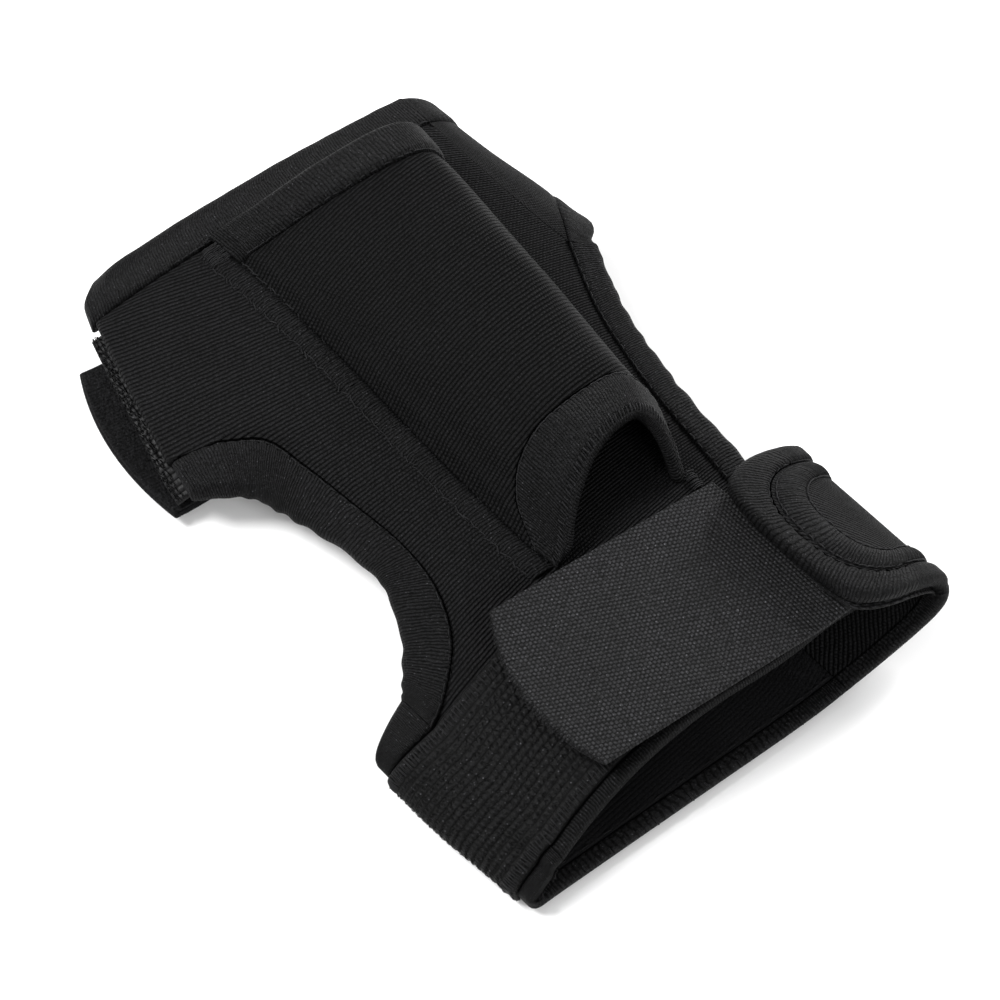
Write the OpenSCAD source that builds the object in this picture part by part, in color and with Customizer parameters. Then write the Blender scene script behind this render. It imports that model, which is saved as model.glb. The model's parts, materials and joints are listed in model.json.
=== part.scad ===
// Wrist support brace with a splint pocket, a wrist strap and a hand loop, lying palm side up.
// X runs across the hand, Y from the wrist edge to the hand edge, Z up.
// The origin is on the underside of the wrist band, below the middle of the wrist loop.

/* [Overall] */
// Length from the wrist edge to the hand edge
brace_l = 163; // [140:1:190]
// Width across the folded wrist loop
wrist_w = 108; // [90:1:126]
// Height of the wrist loop's upper lip
crown_h = 20; // [17.5:0.5:24]

/* [Fabric] */
// Thickness of the neoprene laminate
neoprene_t = 3; // [2.5:0.1:3.2]
// How far edge binding stands out of the laminate on each face
binding_lip = 0.4; // [0.2:0.1:0.6]
// Width of the binding along the two side cut-outs
binding_w = 8; // [6:0.5:9]
// Width of the hem across the hand edge
hem_w = 9.5; // [7:0.5:11]
// Width of the narrow hem along the wrist edge
lip_hem_w = 3.5; // [2.5:0.5:5]

/* [Wrist closure] */
// Thickness of the wrist strap's webbing
strap_t = 1.6; // [1.2:0.1:2]
// Width of the wrist strap
strap_w = 39; // [30:1:40]
// Thickness of the loop tape
tape_t = 1.0; // [0.8:0.1:1.2]
// Thickness of the hook pad under the strap
hook_t = 0.8; // [0.5:0.1:0.9]

/* [Pocket and splint] */
// Height of the pocket's arch above the panel
pocket_rise = 15.2; // [14:0.2:19]
// Thickness of the pocket fabric
pocket_t = 2.4; // [1.8:0.1:2.6]
// Length of the splint
splint_l = 68; // [50:1:70]
// Width of the splint
splint_w = 24; // [16:1:24.5]
// Thickness of the splint
splint_t = 2; // [1:0.1:2]

/* [Hidden] */

// Gap between two pieces that move past each other
run_gap = 0.3;
// Gap between two pieces that are sewn together
sewn_gap = 0.05;
// The proportions below are drawn for these sizes and follow the driving sizes above
drawn_l = 163;
drawn_w = 108;
drawn_crown = 20;
// Where the origin lies along the drawing
origin_y = 20;
// Lean of the wrist loop's two folds, X per Y
wrist_lean = 0.165;
// Where the laminate turns from the panel into the wrist band, on the leaning axis
band_seam = -41;

sx = wrist_w / drawn_w;
sy = brace_l / drawn_l;
sz = crown_h / drawn_crown;
binding_t = neoprene_t + 2 * binding_lip;

// Finished point of a drawn one: widths and lengths scale, thicknesses do not
function place(x, y, z) = [sx * x, sy * (y - origin_y), z];
function mix(a, b, t) = a + (b - a) * t;
function clamp01(t) = min(max(t, 0), 1);

// Smooth value at t of a list of [t, value] knots
function knot(k, t, i = 0) = (i >= len(k) - 2 || t <= k[i + 1][0]) ? i : knot(k, t, i + 1);
function tangent(k, i) =
    let (a = max(i - 1, 0), b = min(i + 1, len(k) - 1))
    (k[b][1] - k[a][1]) / (k[b][0] - k[a][0]);
function along(k, t) =
    let (i = knot(k, t), h = k[i + 1][0] - k[i][0], u = (t - k[i][0]) / h)
    (2 * pow(u, 3) - 3 * pow(u, 2) + 1) * k[i][1]
        + (pow(u, 3) - 2 * pow(u, 2) + u) * h * tangent(k, i)
        + (3 * pow(u, 2) - 2 * pow(u, 3)) * k[i + 1][1]
        + (pow(u, 3) - pow(u, 2)) * h * tangent(k, i + 1);
function evenly(points) = [for (i = [0 : len(points) - 1]) [i / (len(points) - 1), points[i]]];
function path(points, t) = along(evenly(points), t);
function unit(v) = v / norm(v);

// Closed slab over an n by m grid: at(u, v, k) gives its lower face for k = 0 and its upper for k = 1
module slab(n, m, at) {
    row = m + 1;
    side = (n + 1) * row;
    points = [for (k = [0, 1], i = [0 : n], j = [0 : m]) at(i / n, j / m, k)];
    lower = [for (i = [0 : n - 1], j = [0 : m - 1])
        let (a = i * row + j) [a, a + row, a + row + 1, a + 1]];
    upper = [for (q = lower) [q[0] + side, q[3] + side, q[2] + side, q[1] + side]];
    near = [for (i = [0 : n - 1]) let (a = i * row) [a, a + side, a + side + row, a + row]];
    far = [for (i = [0 : n - 1]) let (a = i * row + m) [a, a + row, a + side + row, a + side]];
    first = [for (j = [0 : m - 1]) [j, j + 1, j + 1 + side, j + side]];
    last = [for (j = [0 : m - 1]) let (a = n * row + j) [a, a + side, a + side + 1, a + 1]];
    quads = concat(lower, upper, near, far, first, last);
    mid = at(0.5, 0.5, 0);
    hand = cross(at(0.51, 0.5, 0) - mid, at(0.5, 0.51, 0) - mid) * (at(0.5, 0.5, 1) - mid);
    faces = [for (q = quads, t = [[0, 1, 2], [0, 2, 3]])
        hand > 0 ? [q[t[0]], q[t[1]], q[t[2]]] : [q[t[2]], q[t[1]], q[t[0]]]];
    polyhedron(points, faces);
}

// ---- The upper layer: a long arch over the hand, X by Y ----
crown = [[0, 18.6], [25, 16.4], [50, 15.0], [80, 15.8], [115, 17], [163, 17]];
peak_x = [[0, 13], [45, 8], [80, 0], [163, 4]];
bend = [[0, 0.0031], [45, 0.0023], [80, 0.0034], [115, 0.0017], [163, 0.0016]];
function top_z(x, y) = sz * (along(crown, y) - along(bend, y) * pow(x - along(peak_x, y), 2));
// Point of the upper layer, d above its upper face
function on_top(x, y, d) = place(x, y, top_z(x, y) + d);
function on_laminate(x, y, k) = on_top(x, y, k == 1 ? 0 : -neoprene_t);
function in_binding(x, y, k) = on_top(x, y, k == 1 ? binding_lip : -neoprene_t - binding_lip);

// ---- Outline of the upper layer, as [x, y] ----
function seam_x(y) = band_seam - wrist_lean * y;
function wrist_lip_y(x) = 8.5 - 0.0041 * x * x;
function lip_in_y(x) = wrist_lip_y(x) + lip_hem_w;
bind_k = binding_w / 8;
seam_corner = [seam_x(37.5), 37.5];
thumb_inner = [seam_corner, [-42, 41], [-34, 50], [-30.5, 61], [-31, 73], [-34.5, 87], [-38, 99],
    [-41.5, 108], [-49.2, 113.4]];
thumb_outer = [[seam_x(46.5), 46.5], [-46.5, 49.5], [-42.5, 56], [-39, 66], [-39.2, 73], [-43, 85],
    [-46.4, 93], [-49, 98], [-52, 102]];
outer_inner = [[31, lip_in_y(31)], [31, 30], [31, 50], [31, 70], [31.6, 84], [33, 97], [37, 112]];
outer_outer = [[37.5, lip_in_y(37.5)], [37.5, 30], [37.5, 50], [37.5, 70], [38, 84], [39.4, 97], [42.5, 108.5]];
// Fold line of the hand tab
tab_a = [-52, 102];
tab_b = [-37, 163];
function tab_line(y) = mix(tab_a[0], tab_b[0], (y - tab_a[1]) / (tab_b[1] - tab_a[1]));
hand_y = 163.4;
hem_in = hand_y - hem_w;
// Line where the upper layer turns down into the fold on the outer side
function fold_start(y) =
    y < 112 ? mix(42.5, 37, (y - 108.5) / 3.5) : along([[112, 37], [153.5, 29], [164, 27]], y);

// Left edge of the panel: wrist seam, thumb cut-out, then the fold line of the tab
function panel_left(v) =
    v < 0.2 ? let (y = mix(lip_in_y(seam_x(5)), seam_corner[1], v / 0.2)) [seam_x(y), y]
    : v < 0.7 ? path(thumb_inner, (v - 0.2) / 0.5)
    : let (y = mix(113.4, hem_in, (v - 0.7) / 0.3)) [tab_line(y) + run_gap / 2, y];
function panel_right(v) =
    v < 0.7 ? path(outer_inner, v / 0.7) : let (y = mix(112, hem_in, (v - 0.7) / 0.3)) [fold_start(y), y];
// Point of the panel; its first rows bend to follow the curved wrist lip
function in_panel(u, v) =
    let (p = mix(panel_left(v), panel_right(v), u), edge = mix(panel_left(0), panel_right(0), u))
    p + [0, clamp01(1 - v / 0.2) * (lip_in_y(edge[0]) + sewn_gap - edge[1])];

module body_panel() {
    color([0.08, 0.08, 0.09])
        slab(14, 40, function (u, v, k) let (p = in_panel(u, v)) on_laminate(p[0], p[1], k));
}

module hand_edge_hem() {
    color([0.11, 0.11, 0.12])
        slab(16, 3, function (u, v, k)
            let (y = mix(hem_in, hand_y, v)) in_binding(mix(tab_line(y) + run_gap / 2, fold_start(y), u), y, k));
}

// Strip of binding between an inner and an outer edge line
module top_binding(inner, outer, n) {
    slab(n, 3, function (u, v, k)
        let (a = path(inner, u), b = path(outer, u), p = mix(a, mix(a, b, bind_k), v))
        in_binding(p[0], p[1], k));
}

module thumb_side_binding() {
    color([0.12, 0.12, 0.13]) top_binding(thumb_inner, thumb_outer, 20);
}

module outer_side_binding() {
    color([0.12, 0.12, 0.13]) top_binding(outer_inner, outer_outer, 28);
}

module wrist_lip_hem() {
    color([0.10, 0.10, 0.11])
        slab(16, 2, function (u, v, k)
            let (x = mix(seam_x(1.6), 37.5, u)) in_binding(x, mix(wrist_lip_y(x), lip_in_y(x), v), k));
}

// ---- The wrist loop: a section in [leaning x, z], with edges in Y ----
band_points = [[-41, 10.2], [-46, 8.8], [-50, 7.3], [-52.6, 5.4], [-53, 3.6], [-51.8, 1.4], [-49, 0.2],
    [-45, 0], [-30, 0], [-10, 0], [10, 0], [20, 0], [27, 0.7], [34, 2.2], [40, 4], [46, 6.3],
    [50.5, 8.3], [53.6, 10.4], [55, 12.2], [55.2, 13.5]];
wing_points = [[55.2, 13.5], [54.9, 15], [53.6, 16.9], [51, 18.8], [47.5, 20.6], [43, 22.8], [38, 24.6], [33, 26],
    [30.6, 26.3]];
hinge_z = sz * 13.5;
hinge_gap = run_gap / 2;
// Height factor that lands the band on the panel at their seam
function seam_fit(y) = top_z(seam_x(y), y) / (sz * band_points[0][1]);
function band_section(s, y) =
    let (p = path(band_points, s), f = mix(seam_fit(y), 1, clamp01((p[0] - band_seam) / 40 + s * 3)))
    [p[0], max(0, sz * p[1] * f)];
function wing_section(s) = let (p = path(wing_points, s)) [p[0], sz * p[1]];
// Point d inside a section's outer face; plumb = 1 measures straight down instead of square to it
function off_section(a, b, c, y, d, plumb = 0) =
    let (t = unit([sx * (c[0] - a[0]), c[1] - a[1]]), n = unit(mix([-t[1], t[0]], [0, -1], plumb)))
    place(b[0] - wrist_lean * y, y, b[1]) + d * [n[0], 0, n[1]];
function on_band(s, y, d) =
    let (p = off_section(band_section(s - 0.004, y), band_section(s, y), band_section(s + 0.004, y), y, d,
        clamp01(1 - s / 0.08)))
    [p[0], p[1], min(p[2], hinge_z - hinge_gap)];
function on_wing(s, y, d) =
    let (p = off_section(wing_section(s - 0.004), wing_section(s), wing_section(s + 0.004), y, d))
    [p[0], p[1], max(p[2], hinge_z + hinge_gap)];
function band_low(s) =
    along([[0, 1.6], [0.15, -1], [0.3, -2], [0.5, -1], [0.65, 0], [0.85, 1.2], [1, 3]], s);
function band_high(s) =
    along([[0, 46.5], [0.1, 42.5], [0.2, 39.5], [0.35, 39], [0.6, 41], [0.8, 43], [1, 44.5]], s);
function band_inner(s) = along([[0, 37.5], [0.2, 35], [0.4, 32.5], [1, 37.5]], s);

// Strip of the band between two edge lines, with its faces d0 and d1 inside the outer face
module band_strip(low, high, d0, d1, m, u1 = 0.99) {
    slab(48, m, function (u, v, k)
        let (s = u * u1) on_band(s, mix(low(s), high(s), v), mix(d0, d1, k)));
}

module wrist_band() {
    color([0.07, 0.07, 0.08])
        band_strip(function (s) band_low(s) + lip_hem_w, function (s) band_inner(s), 0, neoprene_t, 6);
}

module wrist_band_lip_hem() {
    color([0.10, 0.10, 0.11])
        band_strip(function (s) band_low(s), function (s) band_low(s) + lip_hem_w, 0,
            neoprene_t + binding_lip, 2);
}

module wrist_band_binding() {
    color([0.12, 0.12, 0.13])
        band_strip(function (s) band_inner(s), function (s) band_high(s), 0, neoprene_t + binding_lip, 2);
}

// ---- Loop tape over the panel's wrist corner and round the left fold ----
tape_x0 = -20;
tape_share = 0.45;
tape_end = 0.27;
function tape_low(u) =
    u < tape_share ? let (x = mix(tape_x0, seam_x(6), u / tape_share)) lip_in_y(x)
    : band_low(mix(0, tape_end, (u - tape_share) / (1 - tape_share))) + lip_hem_w;
function tape_high(u) =
    u < tape_share ? mix(44.5, 37.2, u / tape_share)
    : band_inner(mix(0, tape_end, (u - tape_share) / (1 - tape_share))) - 0.3;
function on_tape(u, y, d) =
    u < tape_share ? on_top(mix(tape_x0, seam_x(y), u / tape_share), y, d)
    : on_band(mix(0, tape_end, (u - tape_share) / (1 - tape_share)), y, -d);
// Strip of the tape between two shares of its width, from d0 to d1 above the laminate
module tape_strip(v0, v1, d0, d1, m) {
    slab(30, m, function (u, v, k)
        on_tape(u, mix(tape_low(u), tape_high(u), mix(v0, v1, v)), mix(d0, d1, k)));
}

module loop_tape() {
    color([0.06, 0.06, 0.06]) tape_strip(0, 1, sewn_gap, tape_t, 6);
}

stitch_h = 0.35;
module tape_stitching() {
    color([0.16, 0.16, 0.17]) {
        tape_strip(0.01, 0.08, tape_t + sewn_gap / 2, tape_t + stitch_h, 1);
        tape_strip(0.92, 0.99, tape_t + sewn_gap / 2, tape_t + stitch_h, 1);
    }
}

// ---- Pocket: an arch across the panel, narrower towards its mouth ----
// Share of the width and of the rise along the arch, from its left foot to its right foot
arch = [[0, 0.175], [0.1, 0.29], [0.2, 0.49], [0.35, 0.70], [0.5, 0.85], [0.68, 0.96], [0.84, 1],
    [0.93, 0.93], [0.985, 0.72], [1.005, 0.4], [1, 0.02]];
function foot_left(y) = along([[49, -9.5], [56, -11], [77, -14.5], [95, -17], [118, -19.5], [153, -24]], y);
function foot_right(y) = along([[49, 25], [60, 27.5], [95, 26.5], [120, 25.8], [153, 24.8]], y);
function arch_xz(t, y, w) =
    let (p = path(arch, t),
        x = mix(mix(foot_left(y), foot_right(y), p[0]), mix(-9.5, 23.5, p[0]), w))
    [x, top_z(x, y) + pocket_rise * p[1] * (1 - 0.06 * w)];
// Point of the arch, d inside its outer face; w = 1 at the mouth's edge
function on_arch(t, y, w, d) =
    let (a = arch_xz(max(t - 0.01, 0), y, w), b = arch_xz(t, y, w), c = arch_xz(min(t + 0.01, 1), y, w),
        g = unit([sx * (c[0] - a[0]), c[1] - a[1]]),
        n = unit(mix([g[1], -g[0]], [0, -1], clamp01(1 - t / 0.12))))
    place(b[0], y, b[1]) + d * [n[0], 0, n[1]];
function mouth_in(t) =
    along([[0, 55], [0.05, 61], [0.1, 65.5], [0.2, 70], [0.3, 73], [0.4, 74], [0.6, 74], [0.7, 72.5],
        [0.8, 69], [0.9, 65.5], [1, 63]], t);
function mouth_edge(t) =
    along([[0, 49.6], [0.1, 50.5], [0.2, 54], [0.3, 58], [0.4, 61], [0.5, 63], [0.6, 63.5], [0.7, 62.5],
        [0.8, 60], [0.9, 56], [1, 51.5]], t);
function pocket_edge(t) = along([[0, 152.5], [0.4, 151.5], [0.7, 147], [1, 144.5]], t);
// Facets round the arch, the same for each piece sewn along it
arch_cuts = 30;

module pocket_panel() {
    color([0.09, 0.09, 0.10])
        slab(arch_cuts, 10, function (u, v, k)
            on_arch(u, mix(mouth_in(u), pocket_edge(u) - hem_w, v), 0, k * pocket_t));
}

module pocket_hand_hem() {
    color([0.12, 0.12, 0.13])
        slab(arch_cuts, 2, function (u, v, k)
            on_arch(u, mix(pocket_edge(u) - hem_w, pocket_edge(u), v), 0, mix(-binding_lip, pocket_t, k)));
}

module pocket_mouth_binding() {
    color([0.12, 0.12, 0.13])
        slab(arch_cuts, 3, function (u, v, k)
            on_arch(u, mix(mouth_in(u), mouth_edge(u), v), v, mix(-binding_lip, pocket_t, k)));
}

// Flat tape along one foot of the pocket
module foot_tape(y0, y1, x0, x1, h) {
    slab(24, 1, function (u, v, k)
        let (y = mix(y0, y1, u)) on_top(mix(x0(y), x1(y), v), y, mix(sewn_gap, h, k)));
}

module pocket_seam_tape() {
    color([0.11, 0.11, 0.12])
        foot_tape(52, 145, function (y) foot_left(y) - 3.6, function (y) foot_left(y) - 0.1, 1.4);
}

module pocket_side_seam() {
    color([0.10, 0.10, 0.11])
        foot_tape(65, 142, function (y) foot_right(y) + 0.5, function (y) foot_right(y) + 2.3, 1.1);
}

// Row of thread across the end of a seam: middle [x, y], size [x, y, z]
module bar_tack(at, size) {
    slab(2, 2, function (u, v, k)
        on_top(at[0] + (u - 0.5) * size[0], at[1] + (v - 0.5) * size[1], mix(sewn_gap, size[2], k)));
}

module bar_tacks() {
    color([0.14, 0.14, 0.15]) {
        bar_tack([25.6, 50.5], [2.2, 4, 1.8]);
        bar_tack([-26.2, 147.8], [3, 5, 2]);
    }
}

// ---- Splint: a flat stay with rounded ends, tilted with the pocket's roof ----
splint_x = 8;
splint_y0 = 76;
splint_tilt = 12.7;
splint_top = top_z(splint_x, splint_y0) + 0.57 * pocket_rise;
splint_r = 7;
module rounded_bar(w, l, r) {
    square([w - 2 * r, l], center = true);
    square([w, l - 2 * r], center = true);
    for (x = [-1, 1], y = [-1, 1]) translate([x * (w / 2 - r), y * (l / 2 - r)]) circle(r, $fn = 48);
}

module splint() {
    start = place(splint_x, splint_y0, splint_top);
    color([0.72, 0.73, 0.75])
        translate([start[0], start[1] + splint_l / 2, start[2]])
            rotate([0, -splint_tilt, 0])
                translate([0, 0, -splint_t]) linear_extrude(splint_t) rounded_bar(splint_w, splint_l, splint_r);
}

// ---- Palm strap: from the panel round the outer fold and back under the hand ----
strap_points = [[38, 14.6], [41.5, 13.6], [44.6, 11.2], [46, 7.5], [44.6, 3.6], [41.8, 1], [38, 0], [30, 0],
    [15, 0], [0, 0], [-20, 0], [-40, 0]];
fold_top = 38;
fold_out = 46;
function fold_x(y) = along([[108, 48], [115, 46.5], [121, 44.5], [129, 43], [144, 38.5], [164, 34]], y);
function palm_section(s, y) =
    let (p = path(strap_points, s), f = mix(top_z(fold_start(y), y) / (sz * 14.6), 1, clamp01(s / 0.36)),
        x = s < 0.27 ? mix(fold_start(y), fold_x(y), (p[0] - fold_top) / (fold_out - fold_top))
            : p[0] + (fold_x(y) - fold_out) * clamp01(p[0] / fold_out))
    [x, max(0, sz * p[1] * f)];
// Point of the palm strap, d inside its outer face
function on_palm(s, y, d) =
    let (a = palm_section(max(s - 0.004, 0), y), b = palm_section(s, y), c = palm_section(s + 0.004, y),
        g = unit([sx * (c[0] - a[0]), c[1] - a[1]]), n = unit(mix([g[1], -g[0]], [0, -1], clamp01(1 - s / 0.1))))
    place(b[0], y, b[1]) + d * [n[0], 0, n[1]];
function palm_low(s) = along([[0, 108.5], [0.14, 112.5], [0.27, 116], [0.45, 118], [0.64, 117.5], [1, 109.8]], s);
function palm_low_in(s) = along([[0, 112], [0.14, 119], [0.27, 123], [0.45, 125], [0.64, 124.5], [1, 116.8]], s);
function palm_high_in(s) = along([[0, hem_in], [0.27, 152.5], [0.45, 151], [1, 143]], s);
function palm_high(s) = along([[0, hand_y], [0.27, 161], [0.45, 158.5], [1, 150]], s);

module palm_strip(low, high, t, m) {
    slab(34, m, function (u, v, k) on_palm(u, mix(low(u), high(u), v), k * t));
}

module palm_strap() {
    color([0.07, 0.07, 0.08])
        palm_strip(function (s) palm_low_in(s), function (s) palm_high_in(s), neoprene_t, 6);
}

module palm_strap_bindings() {
    color([0.12, 0.12, 0.13]) {
        palm_strip(function (s) palm_low(s), function (s) palm_low_in(s), neoprene_t + binding_lip, 2);
        palm_strip(function (s) palm_high_in(s), function (s) palm_high(s), neoprene_t + binding_lip, 2);
    }
}

// ---- Palm flap: the loop-faced end of the palm strap, slightly cupped at its tip ----
flap_x0 = -40;
flap_t = 2;
flap_loop_t = 0.7;
function flap_z(x) = sz * along([[-68, 3.2], [-63, 1.2], [-58, 0.3], [-52, 0], [-40, 0]], x);
function flap_end(y) = -68 + 3.4 * pow((y - 128) / 20, 2);
function flap_y(u, v) = mix(mix(109.8, 107.9, u), mix(150, 149, u), v);
module flap_sheet(d0, d1, inset) {
    slab(12, 8, function (u, v, k)
        let (y = mix(flap_y(u, 0) + inset, flap_y(u, 1) - inset, v),
            x = mix(flap_x0 - run_gap, flap_end(y) + inset, u))
        place(x, y, flap_z(x) + mix(d0, d1, k)));
}

module palm_flap() {
    color([0.07, 0.07, 0.07]) flap_sheet(0, flap_t, 0);
}

module palm_flap_loop_face() {
    color([0.05, 0.05, 0.05]) flap_sheet(flap_t + sewn_gap, flap_t + flap_loop_t, 0.6);
}

// ---- Hand tab: the end of the upper layer that carries the hook tape ----
tab_low_out = [tab_a, [-56, 104.4], [-60.5, 107]];
tab_low_in = [[tab_line(113.4), 113.4], [-55, 115.2], [-60, 115.8]];
function tab_edge(y) = along([[107, -60.5], [112, -60.3], [117, -59.6], [135, -57], [153, -54.3], [164, -51]], y);
function tab_x(u, y) = mix(tab_line(y) - run_gap / 2, tab_edge(y), u);

module hand_tab() {
    color([0.08, 0.08, 0.09])
        slab(6, 16, function (u, v, k)
            let (y = mix(path(tab_low_in, u)[1], hem_in, v)) on_laminate(tab_x(u, y), y, k));
}

module hand_tab_hem() {
    color([0.11, 0.11, 0.12])
        slab(6, 3, function (u, v, k) let (y = mix(hem_in, hand_y, v)) in_binding(tab_x(u, y), y, k));
}

module hand_tab_binding() {
    color([0.12, 0.12, 0.13])
        slab(6, 3, function (u, v, k)
            let (y = mix(path(tab_low_out, u)[1], path(tab_low_in, u)[1], v)) in_binding(tab_x(u, y), y, k));
}

hook_tape_t = 1.3;
module hand_hook_tape() {
    under = neoprene_t + binding_lip + sewn_gap;
    color([0.15, 0.15, 0.15])
        slab(4, 16, function (u, v, k)
            let (y = mix(109, 152, v)) on_top(tab_edge(y) + mix(8, -2.2, u), y, mix(-under - hook_tape_t, -under, k)));
}

// ---- Wrist wing: the free end of the wrist band, turned back over the panel ----
wing_bind_w = 6;
wing_round = 0.55;
wing_mid = 25;
function wing_low(s) = mix(3.2, 6.2, s);
function wing_high(s) = mix(44.5, 46.5, s);
// Round a of the wing's outline, as [share of length, Y]: wrist side, rounded end, hand side
function wing_outline(a, inset) =
    let (end = 1 - inset / 27, start = wing_round - inset / 60, s0 = 0.012,
        phi = -90 + 180 * clamp01((a - 0.3) / 0.4),
        round_s = start + (end - start) * pow(max(cos(phi), 0), 0.77),
        side = (phi < 0 ? -1 : 1) * pow(abs(sin(phi)), 0.77),
        low = wing_low(start) + inset, high = wing_high(start) - inset)
    a < 0.3 ? let (s = mix(s0, start, a / 0.3)) [s, wing_low(s) + inset]
    : a > 0.7 ? let (s = mix(start, s0, (a - 0.7) / 0.3)) [s, wing_high(s) - inset]
    : [round_s, (low + high) / 2 + (high - low) / 2 * side];
// Band that follows the wing's outline between two insets
module wing_ring(inset0, inset1, d0, d1) {
    slab(48, 1, function (u, v, k)
        let (p = wing_outline(u, mix(inset0, inset1, v))) on_wing(p[0], p[1], mix(d0, d1, k)));
}

module wrist_wing() {
    color([0.08, 0.08, 0.09])
        slab(14, 10, function (u, v, k)
            let (a = 0.5 * u, p = wing_outline(a, wing_bind_w), q = wing_outline(1 - a, wing_bind_w),
                s = mix(p[0], q[0], v))
            on_wing(s, mix(p[1], q[1] - (u == 1 ? -0.01 : 0), v), k * neoprene_t));
}

module wing_binding() {
    color([0.13, 0.13, 0.14]) wing_ring(0, wing_bind_w, -binding_lip, neoprene_t + binding_lip);
}

module wing_inner_seam() {
    color([0.13, 0.13, 0.14]) wing_ring(wing_bind_w + 1.2, wing_bind_w + 3.6, -0.8, -sewn_gap);
}

// ---- Wrist strap: sewn under the wing's end, folding along a line beside it ----
function strap_fold(y) = 26 - wrist_lean * (y - 24);
strap_half = strap_w / 2;
strap_y0 = 27;
function strap_skew(x) = 0.042 * (30 - x);
function strap_tip(y) = -31 + 5 * pow((y - 29.5) / strap_half, 2);
// Upper face of the strap
function strap_z(x, y) =
    sz * (along([[-31, 17.9], [-27, 18.1], [-10, 19.5], [3, 20.1], [20, 20.8], [36, 21]], x) + 0.04 * (25 - y));
function on_strap(x, y, d) = place(x, y, strap_z(x, y) + d);
function strap_y(x, v) = strap_y0 + strap_skew(x) + (2 * v - 1) * strap_half;

module strap_root() {
    color([0.2, 0.2, 0.21])
        slab(2, 10, function (u, v, k)
            let (y = strap_y(28, v)) on_strap(strap_fold(y) + mix(run_gap / 2, 4, u), y, -strap_t * k));
}

module wrist_strap() {
    color([0.2, 0.2, 0.21])
        slab(18, 10, function (u, v, k)
            let (x0 = mix(26, -28, u), y = strap_y(x0, v), x = mix(strap_fold(y) - run_gap / 2, strap_tip(y), u))
            on_strap(x, y, -strap_t * k));
}

hook_inset = 2;
module strap_hook_pad() {
    top = strap_t + sewn_gap;
    color([0.1, 0.1, 0.1])
        slab(10, 8, function (u, v, k)
            let (x0 = mix(-4, -28, u), y = mix(strap_y(x0, 0) + hook_inset, strap_y(x0, 1) - hook_inset, v))
            on_strap(mix(-4, strap_tip(y) + hook_inset, u), y, -top - (hook_t - sewn_gap) * k));
}

body_panel();
hand_edge_hem();
thumb_side_binding();
outer_side_binding();
wrist_lip_hem();
wrist_band();
wrist_band_lip_hem();
wrist_band_binding();
loop_tape();
tape_stitching();
pocket_panel();
pocket_hand_hem();
pocket_mouth_binding();
pocket_seam_tape();
pocket_side_seam();
bar_tacks();
splint();
palm_strap();
palm_strap_bindings();
palm_flap();
palm_flap_loop_face();
hand_tab();
hand_tab_hem();
hand_tab_binding();
hand_hook_tape();
wrist_wing();
wing_binding();
wing_inner_seam();
strap_root();
wrist_strap();
strap_hook_pad();
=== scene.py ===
"""Looks of the wrist support brace: bound neoprene panels, pocket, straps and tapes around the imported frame.

Lengths in the drawing are millimetres, as a pattern cutter would write them, and become metres in `place`.
"""
import json
import logging
import math
from dataclasses import dataclass, field
from enum import Enum
from typing import Callable, Sequence

import bmesh
import bpy
import numpy as np
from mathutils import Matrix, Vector


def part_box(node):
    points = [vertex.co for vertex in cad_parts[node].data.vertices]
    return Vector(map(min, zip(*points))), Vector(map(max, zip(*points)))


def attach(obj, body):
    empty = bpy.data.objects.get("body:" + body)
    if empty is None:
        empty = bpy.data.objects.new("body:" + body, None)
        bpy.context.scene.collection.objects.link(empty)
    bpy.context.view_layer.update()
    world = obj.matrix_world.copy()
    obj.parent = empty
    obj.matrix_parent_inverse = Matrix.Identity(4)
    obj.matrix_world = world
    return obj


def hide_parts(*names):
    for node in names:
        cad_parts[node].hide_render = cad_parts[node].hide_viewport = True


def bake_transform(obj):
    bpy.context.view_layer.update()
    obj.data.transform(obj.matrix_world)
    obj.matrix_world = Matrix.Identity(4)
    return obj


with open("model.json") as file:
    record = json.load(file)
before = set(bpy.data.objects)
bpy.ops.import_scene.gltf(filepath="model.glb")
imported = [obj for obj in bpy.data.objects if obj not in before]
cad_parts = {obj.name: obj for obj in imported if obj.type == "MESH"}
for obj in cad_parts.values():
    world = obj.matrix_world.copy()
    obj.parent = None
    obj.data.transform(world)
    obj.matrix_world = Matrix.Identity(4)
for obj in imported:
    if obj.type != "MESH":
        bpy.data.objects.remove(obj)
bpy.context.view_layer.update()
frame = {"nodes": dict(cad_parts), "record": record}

LOG = logging.getLogger("wrist_brace")
MM = 0.001
Array = np.ndarray
Surface = Callable[[Array, Array, Array], Array]


# ---------------------------------------------------------------- drawing helpers

def mix(a: Array | float, b: Array | float, t: Array | float) -> Array | float:
    """Point between a and b at share t."""
    return a + (b - a) * t


def smooth(t: Array | float, low: float = 0.0, high: float = 1.0) -> Array:
    """Smooth step of t from low to high."""
    q = np.clip((np.asarray(t, float) - low) / (high - low), 0, 1)
    return q * q * (3 - 2 * q)


def waves(t: Array, seed: int, count: int = 5) -> Array:
    """Gentle irregular wave, about -1 to 1, the same for the same seed.

    Args:
        t: Place along the wave, in turns of its longest wave.
        seed: Choice of wave.
        count: How many waves are added.

    Returns:
        The height at each place.
    """
    rng = np.random.default_rng(seed)
    turns = 1 + np.arange(count) * rng.uniform(0.75, 1.3, count)
    phases = rng.uniform(0, 2 * math.pi, count)
    total = sum(np.sin(2 * math.pi * k * t + p) / (1 + 0.5 * i)
                for i, (k, p) in enumerate(zip(turns, phases)))
    return np.asarray(total) / count * 1.6


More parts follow.
